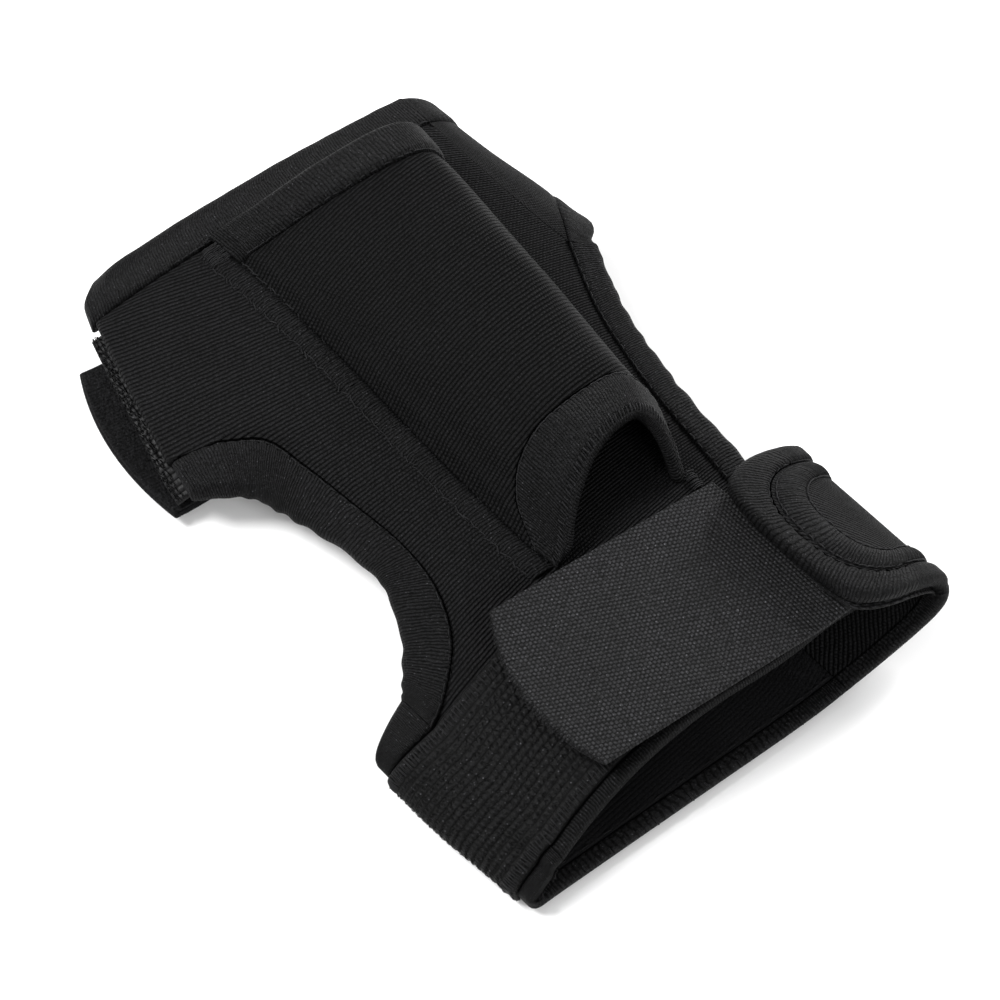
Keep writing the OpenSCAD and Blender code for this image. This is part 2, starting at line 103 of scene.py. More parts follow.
class Curve:
    """Smooth curve through knots, with numbers or points as values."""

    def __init__(self, knots: Sequence[tuple[float, float | Sequence[float]]]) -> None:
        """Takes (place, value) knots in rising order of place."""
        self.at = np.array([k[0] for k in knots], float)
        self.value = np.array([k[1] for k in knots], float)
        slope = np.empty_like(self.value)
        last = len(self.at) - 1
        for i in range(last + 1):
            a, b = max(i - 1, 0), min(i + 1, last)
            slope[i] = (self.value[b] - self.value[a]) / (self.at[b] - self.at[a])
        self.slope = slope

    @classmethod
    def through(cls, points: Sequence[Sequence[float]]) -> "Curve":
        """Curve from 0 to 1 through evenly numbered points."""
        last = len(points) - 1
        return cls([(i / last, p) for i, p in enumerate(points)])

    def __call__(self, t: Array | float) -> Array:
        """Value at each t."""
        t = np.asarray(t, float)
        i = np.clip(np.searchsorted(self.at, t, side="left") - 1, 0, len(self.at) - 2)
        h = self.at[i + 1] - self.at[i]
        u = (t - self.at[i]) / h
        if self.value.ndim > 1:
            u, h = u[..., None], h[..., None]
        return ((2 * u ** 3 - 3 * u ** 2 + 1) * self.value[i] + (u ** 3 - 2 * u ** 2 + u) * h * self.slope[i]
                + (3 * u ** 2 - 2 * u ** 3) * self.value[i + 1] + (u ** 3 - u ** 2) * h * self.slope[i + 1])


def stack(*parts: Array | float) -> Array:
    """Array of points from their coordinates."""
    return np.stack(np.broadcast_arrays(*[np.asarray(p, float) for p in parts]), axis=-1)


# ---------------------------------------------------------------- the pattern: where every surface lies

DRAWN_WIDTH = 108.2
DRAWN_LENGTH = 165.4
ORIGIN_Y = 20.0
NEOPRENE = 3.0
LIP = 0.4
LEAN = 0.165
SEAM_X = -41.0
HAND_Y = 163.4
HEM = 9.5
HEM_IN = HAND_Y - HEM
LIP_HEM = 3.5
POCKET_T = 2.4
POCKET_RISE = 15.2
STRAP_T = 1.6
STRAP_HALF = 19.5


def hinge_of(name: str) -> dict:
    """The joint of that name in the record."""
    return next(joint for joint in frame["record"]["behaviour"]["joints"] if joint["name"] == name)


def frame_scale() -> tuple[float, float]:
    """Width and length of the frame against the drawing."""
    low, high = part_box("wrist_band_lip_hem")
    _, hem_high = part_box("hand_edge_hem")
    return (high[0] - low[0]) / MM / DRAWN_WIDTH, (hem_high[1] - low[1]) / MM / DRAWN_LENGTH


class Pattern:
    """The brace's own shape: each method puts pattern coordinates on one of its surfaces."""

    crown = Curve([(0, 18.6), (25, 16.4), (50, 15.0), (80, 15.8), (115, 17), (163, 17)])
    peak = Curve([(0, 13), (45, 8), (80, 0), (163, 4)])
    bend = Curve([(0, 0.0031), (45, 0.0023), (80, 0.0034), (115, 0.0017), (163, 0.0016)])
    thumb_inner = Curve.through([(-47.19, 37.5), (-42, 41), (-34, 50), (-30.5, 61), (-31, 73), (-34.5, 87),
                                 (-38, 99), (-41.5, 108), (-49.2, 113.4)])
    thumb_outer = Curve.through([(-48.67, 46.5), (-46.5, 49.5), (-42.5, 56), (-39, 66), (-39.2, 73),
                                 (-43, 85), (-46.4, 93), (-49, 98), (-52, 102)])
    outer_inner = Curve.through([(31, 12.9), (31, 30), (31, 50), (31, 70), (31.6, 84), (33, 97), (37, 112)])
    outer_outer = Curve.through([(37.5, 12.9), (37.5, 30), (37.5, 50), (37.5, 70), (38, 84), (39.4, 97),
                                 (42.5, 108.5)])
    fold_start = Curve([(108.5, 42.5), (112, 37), (153.5, 29), (164, 27)])
    fold_x = Curve([(108, 48), (115, 46.5), (121, 44.5), (129, 43), (144, 38.5), (164, 34)])
    tab_edge = Curve([(107, -60.7), (112, -60.9), (117, -60.6), (135, -58.6), (153, -56.4), (164, -54)])
    tab_low_out = Curve.through([(-52, 102), (-56, 104.4), (-60.5, 107)])
    tab_low_in = Curve.through([(-49.2, 113.4), (-55, 115.2), (-60, 115.8)])
    loop = Curve.through([(-41, 10.2), (-46, 8.8), (-50, 7.3), (-52.6, 5.4), (-53, 3.6), (-51.8, 1.4),
                          (-49, 0.2), (-45, 0), (-30, 0), (-10, 0), (10, 0), (20, 0), (27, 0.7), (34, 2.2),
                          (40, 4), (46, 6.3), (50.5, 8.3), (53.6, 10.4), (55, 12.2), (55.2, 13.5),
                          (54.9, 15), (53.6, 16.9), (51, 18.8), (47.5, 20.6), (43, 22.8), (38, 24.6),
                          (33, 26), (30.6, 26.3)])
    loop_hinge = 19 / 27
    palm = Curve.through([(38, 14.6), (41.5, 13.6), (44.6, 11.2), (46, 7.5), (44.6, 3.6), (41.8, 1), (38, 0),
                          (30, 0), (15, 0), (0, 0), (-20, 0), (-40, 0)])
    foot_left = Curve([(49, -9.5), (56, -11), (77, -14.5), (95, -17), (118, -20), (140, -23.6), (156, -27)])
    foot_right = Curve([(49, 24.6), (60, 26.6), (95, 24.8), (120, 23.8), (153, 22.4)])
    arch = Curve.through([(0, 0.175), (0.1, 0.29), (0.2, 0.49), (0.35, 0.70), (0.5, 0.85), (0.68, 0.96),
                          (0.84, 1), (0.93, 0.93), (0.985, 0.72), (1.005, 0.4), (1, 0.02)])
    ramp = Curve.through([(0, 0.12), (0.1, 0.18), (0.2, 0.27), (0.35, 0.44), (0.5, 0.6), (0.68, 0.76), (0.84, 0.86),
                          (0.93, 0.84), (0.985, 0.64), (1.005, 0.36), (1, 0.02)])
    mouth_in = Curve([(0, 55), (0.05, 61), (0.1, 65.5), (0.2, 70), (0.3, 73), (0.4, 74), (0.6, 74),
                      (0.7, 72.5), (0.8, 69), (0.9, 65.5), (1, 63)])
    mouth_edge = Curve([(0, 49.6), (0.1, 50.5), (0.2, 54), (0.3, 58), (0.4, 61), (0.5, 63), (0.6, 63.5),
                        (0.7, 62.5), (0.8, 60), (0.9, 56), (1, 51.5)])
    pocket_end = Curve([(0, 155), (0.2, 153.8), (0.4, 152), (0.7, 148.8), (1, 147)])
    strap_height = Curve([(-31, 17.9), (-27, 18.1), (-10, 19.5), (3, 20.1), (20, 20.8), (36, 21)])
    flap_height = Curve([(-68, 3.2), (-63, 1.5), (-58, 0.5), (-52, 0), (-40, 0)])
    band_low = Curve([(0, 1.6), (0.15, -1), (0.3, -2), (0.5, -1), (0.65, 0), (0.85, 1.2), (1, 3)])
    band_high = Curve([(0, 46.5), (0.1, 42.5), (0.2, 39.5), (0.35, 39), (0.6, 41), (0.8, 43), (1, 44.5)])
    band_inner = Curve([(0, 37.5), (0.2, 35), (0.4, 32.5), (1, 37.5)])
    palm_low = Curve([(0, 108.5), (0.14, 111.6), (0.27, 115.4), (0.45, 118), (0.64, 117.5), (1, 109.8)])
    palm_low_in = Curve([(0, 112), (0.14, 121.5), (0.27, 128), (0.45, 127.5), (0.64, 125), (1, 116.8)])
    palm_high_in = Curve([(0, HEM_IN), (0.27, 152.5), (0.45, 151), (1, 143)])
    palm_high = Curve([(0, HAND_Y), (0.27, 161), (0.45, 158.5), (1, 150)])

    def __init__(self) -> None:
        """Reads how much larger the frame is than the drawing."""
        self.sx, self.sy = frame_scale()

    def place(self, x: Array, y: Array, z: Array) -> Array:
        """Point in the frame, in metres, of a drawn one."""
        return stack(self.sx * x, self.sy * (y - ORIGIN_Y), z) * MM

    def top_z(self, x: Array, y: Array) -> Array:
        """Height of the upper layer's outer face."""
        return self.crown(y) - self.bend(y) * (x - self.peak(y)) ** 2

    def top(self, x: Array, y: Array, d: Array) -> Array:
        """Point d above the upper layer."""
        return self.place(x, y, self.top_z(x, y) + d)

    def seam_x(self, y: Array) -> Array:
        """Line where the upper layer turns into the wrist band."""
        return SEAM_X - LEAN * y

    def lip_y(self, x: Array) -> Array:
        """Wrist edge of the upper layer."""
        sag = 0.0041 * x * x
        return 8.5 - sag + smooth(x, 5, 30) * (sag + 1.0)

    def tab_line(self, y: Array) -> Array:
        """Fold line of the hand tab."""
        return mix(-52.0, -37.0, (y - 102) / 61)

    def off(self, section: Callable[[Array], Array], s: Array, y: Array, d: Array, step: float,
            inward: float, plumb: Array | float = 0.0, shift: Callable[[Array], Array] | None = None) -> Array:
        """Point d inside a section that runs through X and Z.

        Args:
            section: Gives X and Z along the section.
            s: Place along the section.
            y: Place along the brace.
            d: Depth below the outer face.
            step: Step for the section's slope.
            inward: 1 where the inner side is on the left of the run, else -1.
            plumb: Share of straight down in the direction of depth.
            shift: X shift of the point at y.

        Returns:
            Points in metres.
        """
        a, b, c = section(s - step), section(s), section(s + step)
        run = c - a
        run = run / np.maximum(np.linalg.norm(run, axis=-1, keepdims=True), 1e-9)
        normal = stack(-run[..., 1], run[..., 0]) * inward
        plumb = np.asarray(plumb, float)[..., None]
        normal = normal * (1 - plumb) + np.array([0.0, -1.0]) * plumb
        normal = normal / np.maximum(np.linalg.norm(normal, axis=-1, keepdims=True), 1e-9)
        x = b[..., 0] + (shift(y) if shift else 0)
        return self.place(x + d * normal[..., 0] / self.sx, y, b[..., 1] + d * normal[..., 1])

    def wrist(self, s: Array, y: Array, d: Array) -> Array:
        """Point of the wrist loop, band and wing as one: s runs from the panel's seam to the wing's end."""
        fit = self.top_z(self.seam_x(y), y) / 10.2

        def section(q: Array) -> Array:
            p = self.loop(np.clip(q, 0, 1))
            band = q / self.loop_hinge
            f = mix(fit, 1.0, np.clip((p[..., 0] - SEAM_X) / 40 + band * 3, 0, 1))
            return stack(p[..., 0], np.maximum(0, p[..., 1] * f))

        plumb = np.clip(1 - s / (0.08 * self.loop_hinge), 0, 1)
        drawn_in = 2.2 * (1 - smooth(y, -2, 26)) * smooth(s, 0.01, 0.05) * (1 - smooth(s, 0.14, 0.24))
        fold_in = -1.6 * np.exp(-((s - 0.7) / 0.09) ** 2)
        return self.off(section, s, y, d, 0.003, 1, plumb, lambda y_: drawn_in + fold_in - LEAN * y_)

    def palm_side(self, s: Array, y: Array, d: Array) -> Array:
        """Point of the palm strap: s runs from the panel round the outer fold to the flap's root."""
        start, out = self.fold_start(y), self.fold_x(y)
        fit = self.top_z(start, y) / 14.6

        def section(q: Array) -> Array:
            p = self.palm(np.clip(q, 0, 1))
            f = mix(fit, 1.0, np.clip(q / 0.36, 0, 1))
            x = np.where(q < 0.27, mix(start, out, (p[..., 0] - 38) / 8),
                         p[..., 0] + (out - 46) * np.clip(p[..., 0] / 46, 0, 1))
            return stack(x, np.maximum(0, p[..., 1] * f))

        return self.off(section, s, y, d, 0.004, -1, np.clip(1 - s / 0.1, 0, 1))

    def pocket(self, t: Array, y: Array, w: Array, d: Array) -> Array:
        """Point of the pocket's arch: t from foot to foot, w = 1 at the mouth's edge, d inside its face."""
        def section(q: Array) -> Array:
            p = self.arch(np.clip(q, 0, 1))
            x = mix(mix(self.foot_left(y), self.foot_right(y), p[..., 0]), mix(-9.5, 23.5, p[..., 0]), w)
            rise = mix(p[..., 1], self.ramp(np.clip(q, 0, 1))[..., 1], 0.9 * smooth(y, 95, 150))
            return stack(x, self.top_z(x, y) + POCKET_RISE * rise * (1 - 0.06 * w))

        return self.off(section, t, y, d, 0.01, -1, np.clip(1 - t / 0.12, 0, 1))

    def strap(self, x: Array, y: Array, d: Array) -> Array:
        """Point d above the wrist strap's upper face."""
        return self.place(x, y, self.strap_height(x) + 0.04 * (25 - y) + d)

    def flap(self, x: Array, y: Array, d: Array) -> Array:
        """Point d above the palm flap's underside."""
        return self.place(x, y, np.maximum(self.flap_height(x), 0) + d)


PATTERN = Pattern()


# ---------------------------------------------------------------- cloth as closed meshes

@dataclass
class Cloth:
    """Closed sheet of cloth over a grid, with rounded edges.

    Args:
        name: Name of the mesh object.
        at: Point at (u, v, k), with k = 0 on the lower face and 1 on the upper, in metres.
        length: Run along u in millimetres.
        width: Run along v in millimetres.
        step: Grid spacing in millimetres.
        ends: Edge rounding radius at u = 0, u = 1, v = 0 and v = 1, in millimetres.
        weave: Thread coordinates in millimetres at (u, v), or None for the plain run.
    """

    name: str
    at: Surface
    length: float
    width: float
    step: float = 0.9
    ends: tuple[float, float, float, float] = (0.06, 0.06, 0.06, 0.06)
    weave: Callable[[Array, Array], tuple[Array, Array]] | None = None

    @staticmethod
    def rows(run: float, step: float, first: float, last: float) -> Array:
        """Shares along a run, closer together near a rounded edge."""
        inner = np.linspace(0, 1, max(2, round(run / step)) + 1)
        edge = np.array([0.06, 0.25, 0.55, 1.0])
        near = np.concatenate([edge * first, run - edge * last]) / run
        keep = inner[(inner > first / run + 0.3 * step / run) & (inner < 1 - last / run - 0.3 * step / run)]
        return np.unique(np.concatenate([[0.0, 1.0], near, keep]))

    def build(self) -> bpy.types.Object:
        """Makes the mesh object, with its thread coordinates as the UV map."""
        us = self.rows(self.length, self.step, self.ends[0], self.ends[1])
        vs = self.rows(self.width, self.step, self.ends[2], self.ends[3])
        u, v = np.meshgrid(us, vs, indexing="ij")

        def open_share(distance: Array, radius: float) -> Array:
            return np.sqrt(np.clip(1 - (1 - np.minimum(distance / radius, 1)) ** 2, 0, 1))

        depth = (open_share(u * self.length, self.ends[0]) * open_share((1 - u) * self.length, self.ends[1])
                 * open_share(v * self.width, self.ends[2]) * open_share((1 - v) * self.width, self.ends[3]))
        upper = self.at(u, v, 0.5 + 0.5 * depth)
        lower = self.at(u, v, 0.5 - 0.5 * depth)
        rows, cols = u.shape
        number = np.arange(rows * cols).reshape(rows, cols)
        edge = np.zeros_like(number, bool)
        edge[0, :] = edge[-1, :] = edge[:, 0] = edge[:, -1] = True
        below = number.copy()
        below[~edge] = rows * cols + np.arange((~edge).sum())
        points = np.concatenate([upper.reshape(-1, 3), lower[~edge]])

        def quads(grid: Array) -> Array:
            return np.stack([grid[:-1, :-1], grid[1:, :-1], grid[1:, 1:], grid[:-1, 1:]], -1).reshape(-1, 4)

        faces = np.concatenate([quads(number), quads(below)[:, ::-1]])
        a, b = self.weave(u, v) if self.weave else (u * self.length, v * self.width)
        flat = stack(a, b).reshape(-1, 2)
        thread = np.concatenate([flat, flat.reshape(rows, cols, 2)[~edge]])
        middle = (rows // 2, cols // 2)
        run_u = upper[middle[0] + 1, middle[1]] - upper[middle]
        run_v = upper[middle[0], middle[1] + 1] - upper[middle]
        if np.dot(np.cross(run_u, run_v), upper[middle] - lower[middle]) < 0:
            faces = faces[:, ::-1]
        return make_mesh(self.name, points, faces, thread)


def make_mesh(name: str, points: Array, faces: Array, thread: Array | None = None) -> bpy.types.Object:
    """Mesh object from points and quads.

    Args:
        name: Name of the object.
        points: Places in metres.
        faces: Corner numbers.
        thread: Thread coordinates of each point in millimetres.

    Returns:
        The linked object, at the origin.
    """
    mesh = bpy.data.meshes.new(name)
    mesh.from_pydata(points.tolist(), [], faces.tolist())
    if thread is not None:
        layer = mesh.uv_layers.new(name="thread")
        corner = np.empty(len(mesh.loops), np.int32)
        mesh.loops.foreach_get("vertex_index", corner)
        layer.data.foreach_set("uv", thread[corner].astype(np.float32).ravel())
    mesh.polygons.foreach_set("use_smooth", np.ones(len(mesh.polygons), bool))
    mesh.update()
    made = bpy.data.objects.new(name, mesh)
    bpy.context.scene.collection.objects.link(made)
    return made


def tidy(piece: bpy.types.Object) -> None:
    """Merges the points that lie on each other and drops the faces that closed up."""
    work = bmesh.new()
    work.from_mesh(piece.data)
    bmesh.ops.remove_doubles(work, verts=work.verts, dist=2e-6)
    bmesh.ops.dissolve_degenerate(work, dist=1e-6, edges=work.edges)
    work.to_mesh(piece.data)
    work.free()


# ---------------------------------------------------------------- finishes

class Shader:
    """Short way to write a node tree: each call adds a node and links its inputs."""

    def __init__(self, tree: bpy.types.NodeTree) -> None:
        """Works in the given tree."""
        self.tree = tree

    def add(self, kind: str, settings: dict | None = None, **inputs: object) -> bpy.types.Node:
        """Adds a node; an input named s0, s1... is set or linked by its number."""
        node = self.tree.nodes.new(kind)
        for key, value in (settings or {}).items():
            setattr(node, key, value)
        for key, value in inputs.items():
            socket = node.inputs[int(key[1:])] if key[1:].isdigit() and key[0] == "s" else node.inputs[key]
            if isinstance(value, bpy.types.NodeSocket):
                self.tree.links.new(value, socket)
            else:
                socket.default_value = value
        return node

    def math(self, operation: str, a: object, b: object = 0.0, c: object = 0.0) -> bpy.types.NodeSocket:
        """Result of a Math node."""
        return self.add("ShaderNodeMath", {"operation": operation}, s0=a, s1=b, s2=c).outputs[0]

    def noise(self, vector: object, scale: float, detail: float = 2.0, rough: float = 0.5) -> bpy.types.NodeSocket:
        """Value of a Noise Texture node."""
        node = self.add("ShaderNodeTexNoise", None, Vector=vector, Scale=scale, Detail=detail, Roughness=rough)
        return node.outputs[0]

    def span(self, value: object, low: float, high: float, to_low: float, to_high: float) -> bpy.types.NodeSocket:
        """Value carried from one range to another."""
        node = self.add("ShaderNodeMapRange", {"interpolation_type": "SMOOTHSTEP"}, s0=value, s1=low, s2=high,
                        s3=to_low, s4=to_high)
        return node.outputs[0]


def group(name: str, inputs: Sequence[tuple[str, str, float]], outputs: Sequence[str]) -> bpy.types.NodeTree:
    """New shader group with float or vector inputs and float outputs."""
    tree = bpy.data.node_groups.new(name, "ShaderNodeTree")
    for label, kind, default in inputs:
        made = tree.interface.new_socket(label, in_out="INPUT", socket_type=kind)
        if kind == "NodeSocketFloat":
            made.default_value = default
    for label in outputs:
        tree.interface.new_socket(label, in_out="OUTPUT", socket_type="NodeSocketFloat")
    return tree


def fuzz_group() -> bpy.types.NodeTree:
    """Shared fibre effect: fine fuzz in height, a slow random drift of tone, and rare bright specks that are painted
    fibre glints, on the object's own coordinates.
    """
    tree = group("fibre_fuzz", [("Fibre", "NodeSocketFloat", 3000.0)], ["Height", "Drift", "Speck"])
    shader = Shader(tree)
    given = tree.nodes.new("NodeGroupInput")
    place = shader.add("ShaderNodeTexCoord").outputs["Object"]
    fine = shader.add("ShaderNodeTexNoise", None, Vector=place, Scale=given.outputs["Fibre"], Detail=3.0)
    slow = shader.noise(place, 55.0, 3.0, 0.6)
    # Painted highlight: rare bright points in the colour stand in for fibres catching the light.
    glint_speck = shader.add("ShaderNodeTexVoronoi", {"feature": "F1"}, Vector=place, Scale=given.outputs["Fibre"])
    lit = shader.span(glint_speck.outputs["Distance"], 0.0, 0.32, 1.0, 0.0)
    rare = shader.math("GREATER_THAN", shader.add("ShaderNodeSeparateColor", None,
                                                  s0=glint_speck.outputs["Color"]).outputs[0], 0.72)
    end = tree.nodes.new("NodeGroupOutput")
    tree.links.new(fine.outputs[0], end.inputs["Height"])
    tree.links.new(slow, end.inputs["Drift"])
    tree.links.new(shader.math("MULTIPLY", lit, rare), end.inputs["Speck"])
    return tree


def rib_group() -> bpy.types.NodeTree:
    """Shared rib effect: soft ridges across the second thread coordinate, split into small knit loops, and a mask of
    painted shade for the valleys between them.
    """
    tree = group("knit_ribs", [("Pitch", "NodeSocketFloat", 1.05), ("Loop", "NodeSocketFloat", 0.8),
                               ("Wander", "NodeSocketFloat", 0.25), ("Split", "NodeSocketFloat", 0.22)],
                 ["Height", "Valley"])
    shader = Shader(tree)
    given = tree.nodes.new("NodeGroupInput")
    thread = shader.add("ShaderNodeUVMap", {"uv_map": "thread"}).outputs[0]
    split = shader.add("ShaderNodeSeparateXYZ", None, s0=thread)
    drift = shader.math("MULTIPLY", shader.math("SUBTRACT", shader.noise(thread, 0.35, 2.0), 0.5),
                        given.outputs["Wander"])
    across = shader.math("ADD", split.outputs[1], drift)
    turn = shader.math("DIVIDE", across, given.outputs["Pitch"])
    ridge = shader.math("ABSOLUTE", shader.math("SINE", shader.math("MULTIPLY", turn, math.pi)))
    round_ridge = shader.math("POWER", ridge, 0.6)
    odd = shader.math("MULTIPLY", shader.math("FLOOR", turn), 0.5)
    loop = shader.math("ADD", shader.math("DIVIDE", split.outputs[0], given.outputs["Loop"]), odd)
    knit = shader.math("ABSOLUTE", shader.math("SINE", shader.math("MULTIPLY", loop, math.pi)))
    dot = shader.math("MULTIPLY_ADD", shader.math("SUBTRACT", knit, 1.0), given.outputs["Split"], 1.0)
    height = shader.math("MULTIPLY", round_ridge, dot)
    end = tree.nodes.new("NodeGroupOutput")
    tree.links.new(height, end.inputs["Height"])
    # Painted shade: this output is 1 in the rib valleys and between knit loops and 0 on the ridge tops, and it darkens
    # the colour there.
    tree.links.new(shader.span(shader.math("MULTIPLY", ridge, dot), 0.0, 0.75, 1.0, 0.0), end.inputs["Valley"])
    return tree


@dataclass(frozen=True)
class Finish:
    """A cloth finish: dark, rough, with ribs, fuzz, painted shade in the rib valleys and bright specks painted as
    fibre glints, at the scales given.

    Args:
        name: Material name.
        slot: Material slot of the record; not used.
        shade: Base brightness, linear.
        tint: Share of blue in the black.
        pitch: Rib pitch in millimetres.
        loop: Length of one knit loop along a rib in millimetres.
        wander: How far ribs wander in millimetres.
        split: How far the loops along a rib stand apart, 0 to 1.
        rib: Depth of ribs in millimetres.
        fuzz: Depth of the fuzz in millimetres.
        fibre: Fineness of the fuzz, per metre.
        glint_speck: How much brighter the painted fibre glints make the colour.
        valley_shade: How much darker the painted shade makes the rib valleys.
        rough: Roughness.
        sheen: Sheen weight.
        gloss: Specular level.
    """

    name: str
    slot: str
    shade: float
    tint: float = 1.08
    pitch: float = 1.05
    loop: float = 0.8
    wander: float = 0.25
    split: float = 0.22
    rib: float = 0.22
    fuzz: float = 0.08
    fibre: float = 3000.0
    glint_speck: float = 1.0
    valley_shade: float = 0.55
    rough: float = 0.62
    sheen: float = 0.0
    gloss: float = 0.14

    def build(self, groups: dict[str, bpy.types.NodeTree]) -> bpy.types.Material:
        """Makes the material from the shared groups."""
        material = bpy.data.materials.new(self.name)
        material.use_nodes = True
        tree = material.node_tree
        tree.nodes.clear()
        shader = Shader(tree)
        ribs = shader.add("ShaderNodeGroup", {"node_tree": groups["ribs"]}, Pitch=self.pitch, Loop=self.loop,
                          Wander=self.wander, Split=self.split)
        fuzz = shader.add("ShaderNodeGroup", {"node_tree": groups["fuzz"]}, Fibre=self.fibre)
        drift = shader.span(fuzz.outputs["Drift"], 0.3, 0.7, 0.8, 1.2)
        # Painted shade: the colour is made darker in the rib valleys and between knit loops.
        dark = shader.math("SUBTRACT", 1.0, shader.math("MULTIPLY", ribs.outputs["Valley"], self.valley_shade))
        # Painted highlight: scattered fibre glints brighten the colour.
        glint_speck = shader.math("MULTIPLY_ADD", fuzz.outputs["Speck"], self.glint_speck, 1.0)
        grain = shader.span(fuzz.outputs["Height"], 0.3, 0.7, 0.3, 1.9)
        level = shader.math("MULTIPLY", shader.math("MULTIPLY", drift, dark), shader.math("MULTIPLY", glint_speck, grain))
        value = shader.math("MULTIPLY", level, self.shade)
        colour = shader.add("ShaderNodeCombineColor", None, s0=value, s1=value,
                            s2=shader.math("MULTIPLY", value, self.tint))
        height = shader.math("ADD", shader.math("MULTIPLY", ribs.outputs["Height"], self.rib * MM),
                             shader.math("MULTIPLY", fuzz.outputs["Height"], self.fuzz * MM))
        bump = shader.add("ShaderNodeBump", None, Strength=1.0, Distance=1.0, Height=height)
        rough = shader.span(fuzz.outputs["Drift"], 0.3, 0.7, self.rough - 0.06, self.rough + 0.06)
        surface = shader.add("ShaderNodeBsdfPrincipled")
        tree.links.new(colour.outputs[0], surface.inputs["Base Color"])
        tree.links.new(rough, surface.inputs["Roughness"])
        tree.links.new(bump.outputs[0], surface.inputs["Normal"])
        surface.inputs["Specular IOR Level"].default_value = self.gloss
        surface.inputs["Sheen Weight"].default_value = self.sheen
        surface.inputs["Sheen Roughness"].default_value = 0.45
        end = tree.nodes.new("ShaderNodeOutputMaterial")
        tree.links.new(surface.outputs[0], end.inputs[0])
        return material


@dataclass(frozen=True)
class SplintMetal:
    """Brushed aluminium of the splint."""

    name: str = "brushed_aluminium"
    slot: str = "splint_metal"

    def build(self, groups: dict[str, bpy.types.NodeTree]) -> bpy.types.Material:
        """Makes the material, with brush lines along the splint."""
        material = bpy.data.materials.new(self.name)
        material.use_nodes = True
        tree = material.node_tree
        surface = tree.nodes["Principled BSDF"]
        shader = Shader(tree)
        place = shader.add("ShaderNodeTexCoord").outputs["Object"]
        drawn = shader.add("ShaderNodeMapping", None, Vector=place, Scale=(6000.0, 60.0, 6000.0)).outputs[0]
        brush = shader.noise(drawn, 1.0, 3.0, 0.6)
        fuzz = shader.add("ShaderNodeGroup", {"node_tree": groups["fuzz"]}, Fibre=400.0)
        tree.links.new(shader.span(brush, 0.3, 0.7, 0.26, 0.44), surface.inputs["Roughness"])
        shade = shader.span(fuzz.outputs["Drift"], 0.3, 0.7, 0.5, 0.62)
        tree.links.new(shader.add("ShaderNodeCombineColor", None, s0=shade, s1=shade, s2=shade).outputs[0],
                       surface.inputs["Base Color"])
        bump = shader.add("ShaderNodeBump", None, Strength=1.0, Distance=1.0,
                          Height=shader.math("MULTIPLY", brush, 0.02 * MM))
        tree.links.new(bump.outputs[0], surface.inputs["Normal"])
        surface.inputs["Metallic"].default_value = 1.0
        return material


KNIT = Finish("ribbed_knit", "neoprene_knit", 0.0044, pitch=0.87, wander=0.4, rib=0.48, valley_shade=1.0,
              fuzz=0.14, fibre=2200.0, glint_speck=4.0, gloss=0.09)
LINING = Finish("wrist_lining", "neoprene_knit", 0.005, pitch=0.9, rib=0.08, valley_shade=0.3, gloss=0.05)
POCKET_KNIT = Finish("pocket_knit", "neoprene_knit", 0.003, pitch=0.94, wander=0.4, rib=0.55,
                     valley_shade=1.0, fuzz=0.14, fibre=2200.0, glint_speck=4.0, gloss=0.08)
BINDING = Finish("folded_binding", "edge_binding", 0.0044, pitch=0.64, loop=2.6, wander=0.9, split=0.4, rib=0.34,
                 fuzz=0.5, fibre=1800.0, glint_speck=9.0, valley_shade=1.0, sheen=0.002, gloss=0.1)
WEBBING = Finish("strap_webbing", "strap_webbing", 0.0135, pitch=0.76, loop=0.95, wander=0.2, split=0.95, rib=0.24,
                 fuzz=0.24, fibre=1900.0, glint_speck=5.0, valley_shade=1.0, sheen=0.006, gloss=0.14)
LOOP_PILE = Finish("loop_pile", "loop_pile", 0.0026, pitch=1.6, loop=1.3, wander=0.5, split=0.6, rib=0.4, fuzz=0.5,
                   fibre=1500.0, glint_speck=20.0, valley_shade=1.0, gloss=0.14)
FLAP_PILE = Finish("flap_pile", "loop_pile", 0.0048, pitch=0.7, loop=0.7, wander=0.6, rib=0.08, fuzz=0.35,
                   fibre=1500.0, glint_speck=3.0, valley_shade=0.3, gloss=0.1)
HOOK_TAPE = Finish("hook_tape", "hook_tape", 0.005, pitch=1.5, loop=1.5, wander=0.1, rib=0.2, fuzz=0.1,
                   fibre=1500.0, glint_speck=3.0, rough=0.5, gloss=0.16)
THREAD = Finish("sewing_thread", "thread", 0.0085, pitch=0.3, loop=0.3, rib=0.03, fuzz=0.03, fibre=5000.0,
                glint_speck=1.0, rough=0.5, gloss=0.14)
SPLINT_METAL = SplintMetal()


